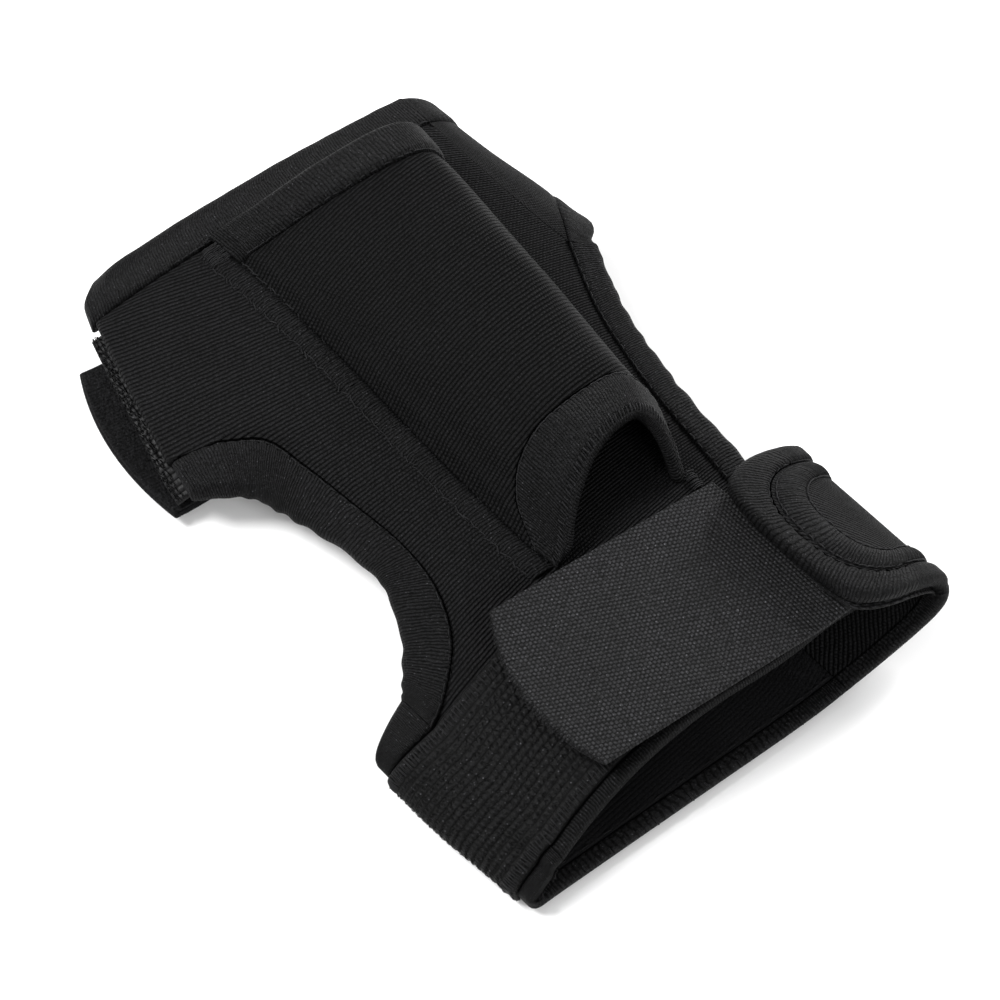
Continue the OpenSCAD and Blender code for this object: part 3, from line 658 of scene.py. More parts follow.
@dataclass
class Workroom:
    """Keeps the finishes' materials and hands dressed pieces to the frame."""

    materials: dict[str, bpy.types.Material] = field(default_factory=dict)
    count: int = 0

    def __post_init__(self) -> None:
        """Makes the shared groups and each finish's material."""
        groups = {"fuzz": fuzz_group(), "ribs": rib_group()}
        for finish in (KNIT, LINING, POCKET_KNIT, BINDING, WEBBING, LOOP_PILE, FLAP_PILE, HOOK_TAPE, THREAD,
                       SPLINT_METAL):
            self.materials[finish.name] = finish.build(groups)

    def dress(self, piece: bpy.types.Object, finish: Finish | SplintMetal) -> None:
        """Gives a piece its finish."""
        piece.data.materials.clear()
        piece.data.materials.append(self.materials[finish.name])

    def hand_over(self, piece: bpy.types.Object, finish: Finish, body: str, nodes: Sequence[str] = (),
                  cut: tuple[float, float] | None = None, held: str = "laid",
                  bend: tuple[str, Sequence[float], Sequence[float]] | None = None) -> bpy.types.Object:
        """Dresses a piece, puts it on its body or, when a bend is given, bakes it in place, and hides the CAD nodes it
        stands for.

        Args:
            piece: The finished mesh object.
            finish: Its finish.
            body: Body that it rides on.
            nodes: CAD nodes that it stands for.
            cut: Width and length of the flat cut in millimetres, for cloth; not used.
            held: How the cloth is held; not used.
            bend: Second body, start and end in metres, where the cloth crosses a joint; when given, the piece is only
                baked in place and put on no body.

        Returns:
            The piece.
        """
        self.dress(piece, finish)
        if bend:
            tuple(bend[1])
            tuple(bend[2])
            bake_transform(piece)
        else:
            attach(piece, body)
        if nodes:
            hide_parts(*nodes)
        self.count += 1
        LOG.info("%s: %d faces on %s", piece.name, len(piece.data.polygons), body)
        return piece


# ---------------------------------------------------------------- threads, loops and hooks by Geometry Nodes

class Strand(Enum):
    """Shape of one scattered strand: length, height and thickness in millimetres."""

    STITCH = (1.7, 0.34, 0.34)
    LADDER = (2.5, 0.42, 0.32)
    TACK = (2.4, 0.9, 0.4)
    LOOP = (0.9, 0.75, 0.13)
    HOOK = (0.55, 1.9, 0.2)
    NAP = (0.9, 0.8, 0.13)


@dataclass
class Scatter:
    """Strands laid on a surface, gathered before Geometry Nodes make them.

    Args:
        name: Name of the mesh object.
        shape: Shape of each strand.
        seed: Seed of their small differences.
    """

    name: str
    shape: Strand
    seed: int = 1
    places: list[Array] = field(default_factory=list)
    alongs: list[Array] = field(default_factory=list)
    ups: list[Array] = field(default_factory=list)

    def rows(self, at: Callable[[Array], Array], side: Callable[[Array], Array], run: float, pitch: float,
             across: bool = False, jitter: float = 0.12, lift: float = 0.0) -> "Scatter":
        """Adds a row of strands.

        Args:
            at: Line of the row, from a share to points in metres.
            side: A line beside it on the same surface, which sets which way is up.
            run: Length of the row in millimetres.
            pitch: Spacing in millimetres.
            across: True where the strands lie across the row.
            jitter: Share of the pitch that places stray.
            lift: How far the strands stand off the line, in millimetres.

        Returns:
            The scatter itself.
        """
        rng = np.random.default_rng(self.seed + len(self.places))
        count = max(2, round(run / pitch))
        t = (np.arange(count) + 0.5 + rng.uniform(-jitter, jitter, count)) / count
        place = at(t)
        along = at(np.minimum(t + 0.002, 1)) - at(np.maximum(t - 0.002, 0))
        over = side(t) - place
        up = np.cross(along, over)
        up /= np.maximum(np.linalg.norm(up, axis=1, keepdims=True), 1e-12)
        up *= np.where(up[:, 2:] < -0.2, -1, 1)
        line = over if across else along
        line = line / np.maximum(np.linalg.norm(line, axis=1, keepdims=True), 1e-12)
        line = line + rng.normal(0, 0.07, line.shape)
        self.places.append(place + up * lift * MM)
        self.alongs.append(line)
        self.ups.append(up)
        return self

    def field(self, at: Callable[[Array, Array], Array], shape: tuple[int, int], stray: float = 0.35,
              keep: float = 1.0, flip: float = 1.0) -> "Scatter":
        """Adds strands all over a surface at(u, v), in rows; keep is the share that stays."""
        rng = np.random.default_rng(self.seed)
        u, v = np.meshgrid((np.arange(shape[0]) + 0.5) / shape[0], (np.arange(shape[1]) + 0.5) / shape[1],
                           indexing="ij")
        u = np.clip(u.ravel() + rng.uniform(-stray, stray, u.size) / shape[0], 0.004, 0.996)
        v = np.clip(v.ravel() + rng.uniform(-stray, stray, v.size) / shape[1] * 0.5, 0.004, 0.996)
        stays = rng.uniform(0, 1, u.size) < keep
        u, v = u[stays], v[stays]
        place = at(u, v)
        du, dv = at(u + 0.004, v) - place, at(u, v + 0.004) - place
        up = np.cross(du, dv) * flip
        up /= np.maximum(np.linalg.norm(up, axis=1, keepdims=True), 1e-12)
        angle = rng.uniform(-0.9, 0.9, len(u))[:, None]
        line = dv / np.linalg.norm(dv, axis=1, keepdims=True) * np.cos(angle)
        line = line + du / np.linalg.norm(du, axis=1, keepdims=True) * np.sin(angle)
        self.places.append(place)
        self.alongs.append(line)
        self.ups.append(up + rng.normal(0, 0.18, up.shape))
        return self

    def build(self, room: Workroom, finish: Finish) -> bpy.types.Object:
        """Runs the node tree on the gathered places and returns the plain mesh."""
        places = np.concatenate(self.places)
        mesh = bpy.data.meshes.new(self.name + "_places")
        mesh.from_pydata(places.tolist(), [], [])
        for label, values in (("along", self.alongs), ("up", self.ups)):
            kept = mesh.attributes.new(label, "FLOAT_VECTOR", "POINT")
            kept.data.foreach_set("vector", np.concatenate(values).astype(np.float32).ravel())
        holder = bpy.data.objects.new(self.name + "_places", mesh)
        bpy.context.scene.collection.objects.link(holder)
        tree, sockets = strand_tree(room.materials[finish.name])
        modifier = holder.modifiers.new("strands", "NODES")
        modifier.node_group = tree
        length, height, thick = (value * MM for value in self.shape.value)
        for label, value in (("Length", length), ("Height", height), ("Thickness", thick), ("Seed", self.seed)):
            modifier[sockets[label]] = value
        graph = bpy.context.evaluated_depsgraph_get()
        plain = bpy.data.meshes.new_from_object(holder.evaluated_get(graph), depsgraph=graph)
        holder.modifiers.clear()
        bpy.data.objects.remove(holder)
        bpy.data.node_groups.remove(tree)
        plain.name = self.name
        if not plain.uv_layers:
            plain.uv_layers.new(name="thread")
        plain.polygons.foreach_set("use_smooth", np.ones(len(plain.polygons), bool))
        made = bpy.data.objects.new(self.name, plain)
        bpy.context.scene.collection.objects.link(made)
        return made


def strand_tree(material: bpy.types.Material) -> tuple[bpy.types.NodeTree, dict[str, str]]:
    """Geometry Nodes tree that bends one strand and sets it on each place.

    Args:
        material: Material of the strands.

    Returns:
        The tree and the identifier of each named input.
    """
    tree = bpy.data.node_groups.new("strands", "GeometryNodeTree")
    face = tree.interface
    face.new_socket("Places", in_out="INPUT", socket_type="NodeSocketGeometry")
    sockets = {label: face.new_socket(label, in_out="INPUT", socket_type="NodeSocketFloat").identifier
               for label in ("Length", "Height", "Thickness")}
    sockets["Seed"] = face.new_socket("Seed", in_out="INPUT", socket_type="NodeSocketInt").identifier
    face.new_socket("Strands", in_out="OUTPUT", socket_type="NodeSocketGeometry")
    nodes = Shader(tree)
    given = tree.nodes.new("NodeGroupInput")
    half = nodes.math("MULTIPLY", given.outputs["Length"], 0.5)
    back = nodes.math("MULTIPLY", given.outputs["Length"], -0.5)
    sunk = nodes.math("MULTIPLY", given.outputs["Thickness"], -0.5)
    ends = [nodes.add("ShaderNodeCombineXYZ", None, s0=x, s2=z).outputs[0]
            for x, z in ((back, sunk), (0.0, given.outputs["Height"]), (half, sunk))]
    bow = nodes.add("GeometryNodeCurveQuadraticBezier", None, Resolution=5, Start=ends[0], Middle=ends[1], End=ends[2])
    round_ = nodes.add("GeometryNodeCurvePrimitiveCircle", None, Resolution=5,
                       Radius=nodes.math("MULTIPLY", given.outputs["Thickness"], 0.5))
    strand = nodes.add("GeometryNodeCurveToMesh", None, **{"Curve": bow.outputs[0],
                                                           "Profile Curve": round_.outputs[0], "Fill Caps": True})
    along = nodes.add("GeometryNodeInputNamedAttribute", {"data_type": "FLOAT_VECTOR"}, Name="along").outputs[0]
    up = nodes.add("GeometryNodeInputNamedAttribute", {"data_type": "FLOAT_VECTOR"}, Name="up").outputs[0]
    laid = nodes.add("FunctionNodeAlignRotationToVector", {"axis": "X"}, Vector=along).outputs[0]
    stood = nodes.add("FunctionNodeAlignRotationToVector", {"axis": "Z", "pivot_axis": "X"}, Rotation=laid,
                      Vector=up).outputs[0]
    size = nodes.add("FunctionNodeRandomValue", {"data_type": "FLOAT"}, Seed=given.outputs["Seed"])
    size.inputs[2].default_value = 0.82
    size.inputs[3].default_value = 1.18
    placed = nodes.add("GeometryNodeInstanceOnPoints", None, Points=given.outputs["Places"], Rotation=stood,
                       Scale=size.outputs[1], Instance=strand.outputs[0])
    real = nodes.add("GeometryNodeRealizeInstances", None, s0=placed.outputs[0])
    dressed = nodes.add("GeometryNodeSetMaterial", None, Geometry=real.outputs[0], Material=material)
    end = tree.nodes.new("NodeGroupOutput")
    tree.links.new(dressed.outputs[0], end.inputs[0])
    return tree, sockets


# ---------------------------------------------------------------- sub-assemblies

def fold_lift(v: Array, lift: float) -> Array:
    """Height of a folded binding across its width: sunk at its seam, then full."""
    return lift * (1 - (1 - np.minimum(v / 0.3, 1)) ** 2) - 0.3 * np.exp(-(v / 0.07) ** 2)


def pucker(run: Array, v: Array, seed: int, depth: float = 0.2) -> Array:
    """Small gathers of a binding, strongest at its seam, in millimetres."""
    fine = np.sin(2 * math.pi * (run / 2.7 + 0.35 * waves(run / 40, seed)))
    slow = waves(run / 24, seed + 7)
    return depth * (fine * np.exp(-v / 0.22) + 0.9 * slow * np.exp(-((v - 0.7) / 0.5) ** 2))


@dataclass
class PalmPanel:
    """Upper layer: ribbed panel, its hem and bindings, and the hand tab it ends in."""

    room: Workroom
    fold_reach: float = 2.2
    tab_share: float = 0.15

    def left(self, t: Array) -> tuple[Array, Array]:
        """Left edge of the panel: wrist seam, thumb cut-out, tab fold."""
        y0 = mix(PATTERN.lip_y(-41.8) + LIP_HEM, 37.5, np.clip(t / 0.2, 0, 1))
        thumb = PATTERN.thumb_inner(np.clip((t - 0.2) / 0.5, 0, 1))
        y2 = mix(113.4, HEM_IN, np.clip((t - 0.7) / 0.3, 0, 1))
        x = np.where(t < 0.2, PATTERN.seam_x(y0), np.where(t < 0.7, thumb[..., 0], PATTERN.tab_line(y2)))
        return x, np.where(t < 0.2, y0, np.where(t < 0.7, thumb[..., 1], y2))

    def right(self, t: Array) -> tuple[Array, Array]:
        """Right edge of the panel: outer binding, then the fold."""
        side = PATTERN.outer_inner(np.clip(t / 0.7, 0, 1))
        y = mix(112.0, HEM_IN, np.clip((t - 0.7) / 0.3, 0, 1))
        return np.where(t < 0.7, side[..., 0], PATTERN.fold_start(y)), np.where(t < 0.7, side[..., 1], y)

    def inside(self, t: Array, v: Array) -> tuple[Array, Array]:
        """X and Y of the panel."""
        (ax, ay), (bx, by) = self.left(t), self.right(t)
        zero = np.zeros_like(t)
        (cx, cy), (dx, dy) = self.left(zero), self.right(zero)
        x, y = mix(ax, bx, v), mix(ay, by, v)
        edge_x, edge_y = mix(cx, dx, v), mix(cy, dy, v)
        return x, y + np.clip(1 - t / 0.2, 0, 1) * (PATTERN.lip_y(edge_x) + LIP_HEM - edge_y)

    @staticmethod
    def ribs(x: Array, y: Array) -> tuple[Array, Array]:
        """Thread coordinates of the panel's knit: its ribs fan out from the wrist corner to the hand edge."""
        turn = np.clip(-0.27 + 0.52 * (y - 40) / 100, -0.3, 0.3)
        return x, y + turn * (x + 30) + 0.32 * smooth(y, 80, 140) * np.maximum(x - 20, 0)

    def bend(self) -> tuple[str, Array, Array]:
        """Second body, start and end of the turn along the tab's fold line."""
        hinge = hinge_of("tab_lift")
        middle, axis = np.array(hinge["pos_m"]), np.array(hinge["axis"])
        out = np.cross(axis, (0, 0, 1))
        out = out / np.linalg.norm(out) * (-1 if out[0] > 0 else 1)
        return "tab", middle - out * self.fold_reach * MM, middle + out * self.fold_reach * MM

    def spread(self, t: Array, v: Array) -> tuple[Array, Array]:
        """X and Y of the panel with its tab; below the tab the first columns close up on the left edge."""
        share = self.tab_share
        inner = np.clip((v - share) / (1 - share), 0, 1)
        x, y = self.inside(t, inner)
        hand = t >= 0.7
        rise = np.clip((t - 0.7) / 0.3, 0, 1)
        tab_y = mix(mix(115.8, 113.4, v / share), HEM_IN, rise)
        tab_x = mix(PATTERN.tab_edge(tab_y), PATTERN.tab_line(tab_y), np.clip(v / share, 0, 1))
        on_tab = hand & (v < share)
        return np.where(on_tab, tab_x, x), np.where(on_tab, tab_y, y)

    def cloth(self) -> None:
        """Main panel, which runs on into the hand tab."""
        def at(u: Array, v: Array, k: Array) -> Array:
            x, y = self.spread(u, v)
            near = np.where(u < 0.7, v - self.tab_share, 9.0)
            dent = -0.45 * (np.exp(-(near * 84 / 1.5) ** 2) + np.exp(-((1 - v) * 84 / 1.5) ** 2) * (u < 0.7)
                            + np.exp(-((1 - u) * 147 / 1.5) ** 2))
            sway = 0.16 * np.sin(x / 9 + y / 14) * np.sin(y / 17) - 0.5 * smooth(-x, 42, 58) * smooth(y, 110, 130)
            return PATTERN.top(x, y, (k - 1) * NEOPRENE + (dent + sway) * k)

        panel = Cloth("panel_cloth", at, 147, 84, 0.85, (0.06, 0.06, 0.7, 0.06),
                      lambda u, v: self.ribs(*self.spread(u, v))).build()
        tidy(panel)
        self.room.hand_over(panel, KNIT, "brace", ["body_panel", "hand_tab"], (95, 146), "folded", self.bend())

    def hem(self) -> None:
        """Folded hem across the hand edge, from the tab's end to the fold."""
        def at(u: Array, v: Array, k: Array) -> Array:
            run = u * 88
            y = mix(HEM_IN, HAND_Y + 0.12 * waves(run / 30, 5), v)
            x = mix(PATTERN.tab_edge(y) - 1.2 + 3.2 * smooth(v, 0.45, 1) ** 2, PATTERN.fold_start(y), u)
            top = fold_lift(v, LIP + 0.15) + pucker(run, v, 3, 0.16)
            droop = 1.9 * (1 - smooth(u, 0, 0.1)) ** 1.5
            return PATTERN.top(x, y, mix(-NEOPRENE - LIP, top, k) - droop)

        hem = Cloth("hand_hem", at, 88, HEM, 0.8, (1.2, 0.06, 0.4, 1.7),
                    lambda u, v: (v * HEM, u * 88)).build()
        self.room.hand_over(hem, BINDING, "brace", ["hand_edge_hem", "hand_tab_hem"], (10, 90), "folded", self.bend())

    def thumb_lines(self, t: Array) -> tuple[Array, Array]:
        """Inner and outer edge lines of the binding from the wrist seam to the tab's corner."""
        first, second = np.clip(t / 0.88, 0, 1), np.clip((t - 0.88) / 0.12, 0, 1)
        near = np.where((t < 0.88)[..., None], PATTERN.thumb_inner(first), PATTERN.tab_low_in(second))
        far = np.where((t < 0.88)[..., None], PATTERN.thumb_outer(first), PATTERN.tab_low_out(second))
        return near, far

    def strip(self, name: str, lines: Callable[[Array], tuple[Array, Array]], run: float, wide: float, seed: int,
              ends: tuple[float, float, float, float], wobble: float) -> bpy.types.Object:
        """Folded binding on the upper layer between two edge lines."""
        def at(u: Array, v: Array, k: Array) -> Array:
            near, far = lines(u)
            fade = smooth(u, 0, 0.05) * (1 - smooth(u, 0.94, 1))
            stray = wobble * (waves(u * run / 26, seed) + 0.35 * np.sin(u * run / 1.1)) * v ** 2 * fade
            reach = v * (1 + stray / wide)
            p = mix(near, far, reach[..., None])
            top = fold_lift(v, LIP + 0.15) + pucker(u * run, v, seed) * fade
            return PATTERN.top(p[..., 0], p[..., 1], mix(-NEOPRENE - LIP, top, k))

        return Cloth(name, at, run, wide, 0.75, ends, lambda u, v: (v * wide, u * run)).build()

    def bindings(self) -> None:
        """Bindings of the thumb cut-out and the outer side, and the narrow wrist hem."""
        thumb = self.strip("thumb_binding", self.thumb_lines, 92, 8.6, 11, (0.06, 1.2, 0.4, 1.8), 0.35)
        self.room.hand_over(thumb, BINDING, "brace", ["thumb_side_binding", "hand_tab_binding"], (9, 92), "folded",
                            self.bend())

        def outer(t: Array) -> tuple[Array, Array]:
            return PATTERN.outer_inner(t), PATTERN.outer_outer(t)

        side = self.strip("outer_binding", outer, 103, 6.5, 23, (0.06, 0.06, 0.4, 1.8), 0.4)
        self.room.hand_over(side, BINDING, "brace", ["outer_side_binding"], (7, 103), "folded")

        def lip(u: Array, v: Array, k: Array) -> Array:
            x = mix(PATTERN.seam_x(1.6 + LIP_HEM * (1 - v)), 37.5, u)
            y = PATTERN.lip_y(x) + LIP_HEM * (1 - v)
            return PATTERN.top(x, y, mix(-NEOPRENE - LIP, fold_lift(v, LIP), k))

        edge = Cloth("wrist_lip", lip, 84, LIP_HEM, 0.8, (0.06, 0.5, 0.3, 1.3),
                     lambda u, v: (v * LIP_HEM, u * 84)).build()
        self.room.hand_over(edge, BINDING, "brace", ["wrist_lip_hem"], (4.5, 86), "folded")

    def stitches(self) -> None:
        """Running stitches along the inside of each binding."""
        def thumb(share: float) -> Callable[[Array], Array]:
            def line(t: Array) -> Array:
                near, far = self.thumb_lines(t * 0.87)
                p = mix(near, far, share)
                return PATTERN.top(p[..., 0], p[..., 1], 0.12)
            return line

        def outer(share: float) -> Callable[[Array], Array]:
            def line(t: Array) -> Array:
                p = mix(PATTERN.outer_inner(t), PATTERN.outer_outer(t), share)
                return PATTERN.top(p[..., 0], p[..., 1], 0.12)
            return line

        def hem(share: float) -> Callable[[Array], Array]:
            def line(t: Array) -> Array:
                y = np.full_like(t, mix(HEM_IN, HAND_Y, share))
                return PATTERN.top(mix(PATTERN.tab_line(y) + 3, PATTERN.fold_start(y), t), y, 0.1)
            return line

        rows = Scatter("panel_stitches", Strand.STITCH, 31)
        rows.rows(thumb(0.07), thumb(0.2), 80, 2.3).rows(outer(0.07), outer(0.2), 103, 2.3)
        rows.rows(hem(0.06), hem(0.2), 74, 2.3)
        piece = rows.build(self.room, THREAD)
        self.room.hand_over(piece, THREAD, "brace")

    def build(self) -> None:
        """Makes the whole upper layer."""
        self.cloth()
        self.hem()
        self.bindings()
        self.stitches()


@dataclass
class WristLoop:
    """Wrist band, its hem and binding, and the wing that turns back over the panel."""

    room: Workroom
    cut: float = 12 / 27
    wing_bind: float = 5.2
    fold_reach: float = 5.5

    def band_s(self, q: Array) -> Array:
        """Share of the band at a share of the loop."""
        return np.clip(q / PATTERN.loop_hinge, 0, 1)

    def wing_line(self, a: Array, inset: Array | float) -> tuple[Array, Array]:
        """Round of the wing's outline: share of the loop, and Y."""
        end, start = 1 - inset / 27, 0.55 - inset / 60
        phi = np.radians(-90 + 180 * np.clip((a - 0.3) / 0.4, 0, 1))
        low, high = mix(3.2, 6.2, start) + inset, mix(44.5, 46.5, start) - inset
        s = start + (end - start) * np.maximum(np.cos(phi), 0) ** 0.77
        y = (low + high) / 2 + (high - low) / 2 * np.sign(phi) * np.abs(np.sin(phi)) ** 0.77
        s1, s2 = mix(0.0, start, a / 0.3), mix(start, 0.0, (a - 0.7) / 0.3)
        s = np.where(a < 0.3, s1, np.where(a > 0.7, s2, s))
        y = np.where(a < 0.3, mix(3.2, 6.2, s) + inset, np.where(a > 0.7, mix(44.5, 46.5, s) - inset, y))
        return (19 + 8 * s) / 27, y

    def rim(self, a: Array, share: Array) -> tuple[Array, Array]:
        """Place on the binding round the wing side: a runs from the band's wrist edge round to its hand edge."""
        wing_q, wing_y = self.wing_line(np.clip((a - 0.2) / 0.6, 0, 1), share * self.wing_bind)
        q1 = mix(self.cut, PATTERN.loop_hinge, np.clip(a / 0.2, 0, 1))
        q2 = mix(self.cut, PATTERN.loop_hinge, np.clip((1 - a) / 0.2, 0, 1))
        s1, s2 = self.band_s(q1), self.band_s(q2)
        y1 = PATTERN.band_low(s1) + share * mix(LIP_HEM, self.wing_bind, smooth(s1, 0.75, 1)) \
            + 0.2 * smooth(s1, 0.8, 1)
        wide = mix(PATTERN.band_high(s2) - PATTERN.band_inner(s2), self.wing_bind, smooth(s2, 0.85, 1))
        y2 = PATTERN.band_high(s2) - share * wide
        q = np.where(a < 0.2, q1, np.where(a > 0.8, q2, wing_q))
        return q, np.where(a < 0.2, y1, np.where(a > 0.8, y2, wing_y))

    def middle(self, u: Array, v: Array) -> tuple[Array, Array]:
        """Place on the wing side's panel, inside its binding."""
        part = 0.3
        a = np.where(u < part, 0.2 * u / part, 0.2 + 0.3 * (u - part) / (1 - part))
        one = np.ones_like(u)
        (q0, y0), (q1, y1) = self.rim(a, one), self.rim(1 - a, one)
        return mix(q0, q1, v), mix(y0, y1, v)

    def bend(self) -> tuple[str, Array, Array]:
        """Second body, start and end of the turn round the outer fold."""
        hinge = hinge_of("wing_open")
        middle = np.array(hinge["pos_m"])
        reach = np.array((0, 0, self.fold_reach * MM))
        return "wing", middle - reach, middle + reach

    def band(self) -> None:
        """Band from the left seam round under the hand, with its hem and binding."""
        def cloth(u: Array, v: Array, k: Array) -> Array:
            q = u * self.cut
            s = self.band_s(q)
            y = mix(PATTERN.band_low(s) + LIP_HEM, PATTERN.band_inner(s), v)
            return PATTERN.wrist(q, y, (1 - k) * NEOPRENE)

        def strip(low: Callable[[Array], Array], high: Callable[[Array], Array], lift: float) -> Surface:
            def at(u: Array, v: Array, k: Array) -> Array:
                q = u * self.cut
                s = self.band_s(q)
                y = mix(low(s), high(s), v)
                swell = fold_lift(v, lift)
                point = PATTERN.wrist(q, y, mix(NEOPRENE + LIP, -swell * (1 - smooth(u, 0.1, 0.3)), k))
                point[..., 2] = np.maximum(point[..., 2], 0)
                return point
            return at

        cloth_piece = Cloth("band_cloth", cloth, 96, 31, 1.0,
                            weave=lambda u, v: (u * 96, v * 31 - 0.3 * u * 96)).build()
        self.room.hand_over(cloth_piece, LINING, "brace", ["wrist_band"], (32, 96), "folded")
        hem = Cloth("band_hem", strip(lambda s: PATTERN.band_low(s) + LIP_HEM, PATTERN.band_low, 0.3), 96, 3.5, 0.9,
                    (0.06, 0.06, 0.3, 1.2), lambda u, v: (v * 3.5, u * 96)).build()
        self.room.hand_over(hem, BINDING, "brace", ["wrist_band_lip_hem"], (4.5, 96), "folded")
        rim = Cloth("band_binding", strip(PATTERN.band_inner, PATTERN.band_high, 0.5), 96, 8, 0.9,
                    (0.06, 0.06, 0.3, 1.7), lambda u, v: (v * 8, u * 96)).build()
        self.room.hand_over(rim, BINDING, "brace", ["wrist_band_binding"], (9, 96), "folded")

    def wing(self) -> None:
        """Wing side: from the underside round the outer fold to the rounded free end."""
        def cloth(u: Array, v: Array, k: Array) -> Array:
            q, y = self.middle(u, v)
            dent = 0.3 * np.exp(-((1 - u) * 60 / 2) ** 2) * k
            return PATTERN.wrist(q, y, (1 - k) * NEOPRENE + dent)

        def rim(u: Array, v: Array, k: Array) -> Array:
            q, y = self.rim(u, 1 - v)
            swell = (fold_lift(v, LIP + 0.5) + pucker(u * 170, v, 41, 0.12)) * smooth(q, self.cut, 0.62)
            point = PATTERN.wrist(q, y, mix(NEOPRENE + LIP * 0.9, -swell, k))
            point[..., 2] = np.maximum(point[..., 2], 0)
            return point

        def ribs(u: Array, v: Array) -> tuple[Array, Array]:
            q, y = self.middle(u, v)
            return 0.7 * (q * 190 + y), 0.7 * (q * 190 - y)

        piece = Cloth("wing_cloth", cloth, 62, 32, 0.8, weave=ribs).build()
        self.room.hand_over(piece, KNIT, "brace", ["wrist_wing"], (31, 58), "folded", self.bend())
        ring = Cloth("wing_rim", rim, 170, 6, 0.8, (0.06, 0.06, 0.4, 1.9), lambda u, v: (v * 6, u * 170)).build()
        self.room.hand_over(ring, BINDING, "brace", ["wing_binding"], (7, 155), "folded", self.bend())

        def seam(u: Array, v: Array, k: Array) -> Array:
            q, y = self.wing_line(0.03 + 0.94 * u, self.wing_bind + 0.5 + 4.0 * v)
            return PATTERN.wrist(q, y, mix(0.1, -0.75 * np.sin(math.pi * v) ** 0.6 - 0.1 - 0.08 * np.sin(u * 260), k))

        raised = Cloth("wing_seam", seam, 84, 4, 0.7, (0.5, 0.5, 0.4, 0.4), lambda u, v: (v * 4, u * 84)).build()
        self.room.hand_over(raised, BINDING, "wing", ["wing_inner_seam"])

        def lining(u: Array, v: Array, k: Array) -> Array:
            q, y = self.wing_line(0.04 + 0.4 * u, -0.3 * np.ones_like(u))
            q1, y1 = self.wing_line(1 - (0.04 + 0.4 * u), 1.5 * np.ones_like(u))
            return PATTERN.wrist(mix(q, q1, v), mix(y, y1, v), mix(NEOPRENE + 0.5, NEOPRENE + 1.1, k))

        backing = Cloth("wing_lining", lining, 24, 38, 0.9, (0.2, 0.3, 0.3, 0.3)).build()
        self.room.hand_over(backing, WEBBING, "wing", [], (24, 38), "laid")

    def stitches(self) -> None:
        """Stitch lines of the wing and of the wrist opening."""
        def ring(inset: float, depth: float) -> Callable[[Array], Array]:
            def line(t: Array) -> Array:
                q, y = self.wing_line(0.05 + 0.9 * t, inset)
                return PATTERN.wrist(q, y, np.full_like(t, depth))
            return line

        rows = Scatter("wing_stitches", Strand.STITCH, 53)
        rows.rows(ring(4.9, -0.1), ring(4.5, -0.1), 96, 2.1).rows(ring(5.8, -0.15), ring(5.4, -0.15), 90, 1.6)
        rows.rows(ring(9.9, -0.1), ring(9.5, -0.1), 78, 1.6)
        piece = rows.build(self.room, THREAD)
        self.room.hand_over(piece, THREAD, "wing")

        def edge(shift: float, depth: float) -> Callable[[Array], Array]:
            def line(t: Array) -> Array:
                q = t * self.cut * 0.98 + 0.004
                return PATTERN.wrist(q, PATTERN.band_low(self.band_s(q)) + shift, np.full_like(t, depth))
            return line

        under = Scatter("band_stitches", Strand.STITCH, 59)
        under.rows(edge(0.55, 3.1), edge(0.9, 3.3), 92, 1.5, across=True)
        under.rows(edge(4.2, NEOPRENE + 0.1), edge(4.6, NEOPRENE + 0.1), 92, 2.4)
        piece = under.build(self.room, THREAD)
        self.room.hand_over(piece, THREAD, "brace")

    def build(self) -> None:
        """Makes the whole loop."""
        self.band()
        self.wing()
        self.stitches()


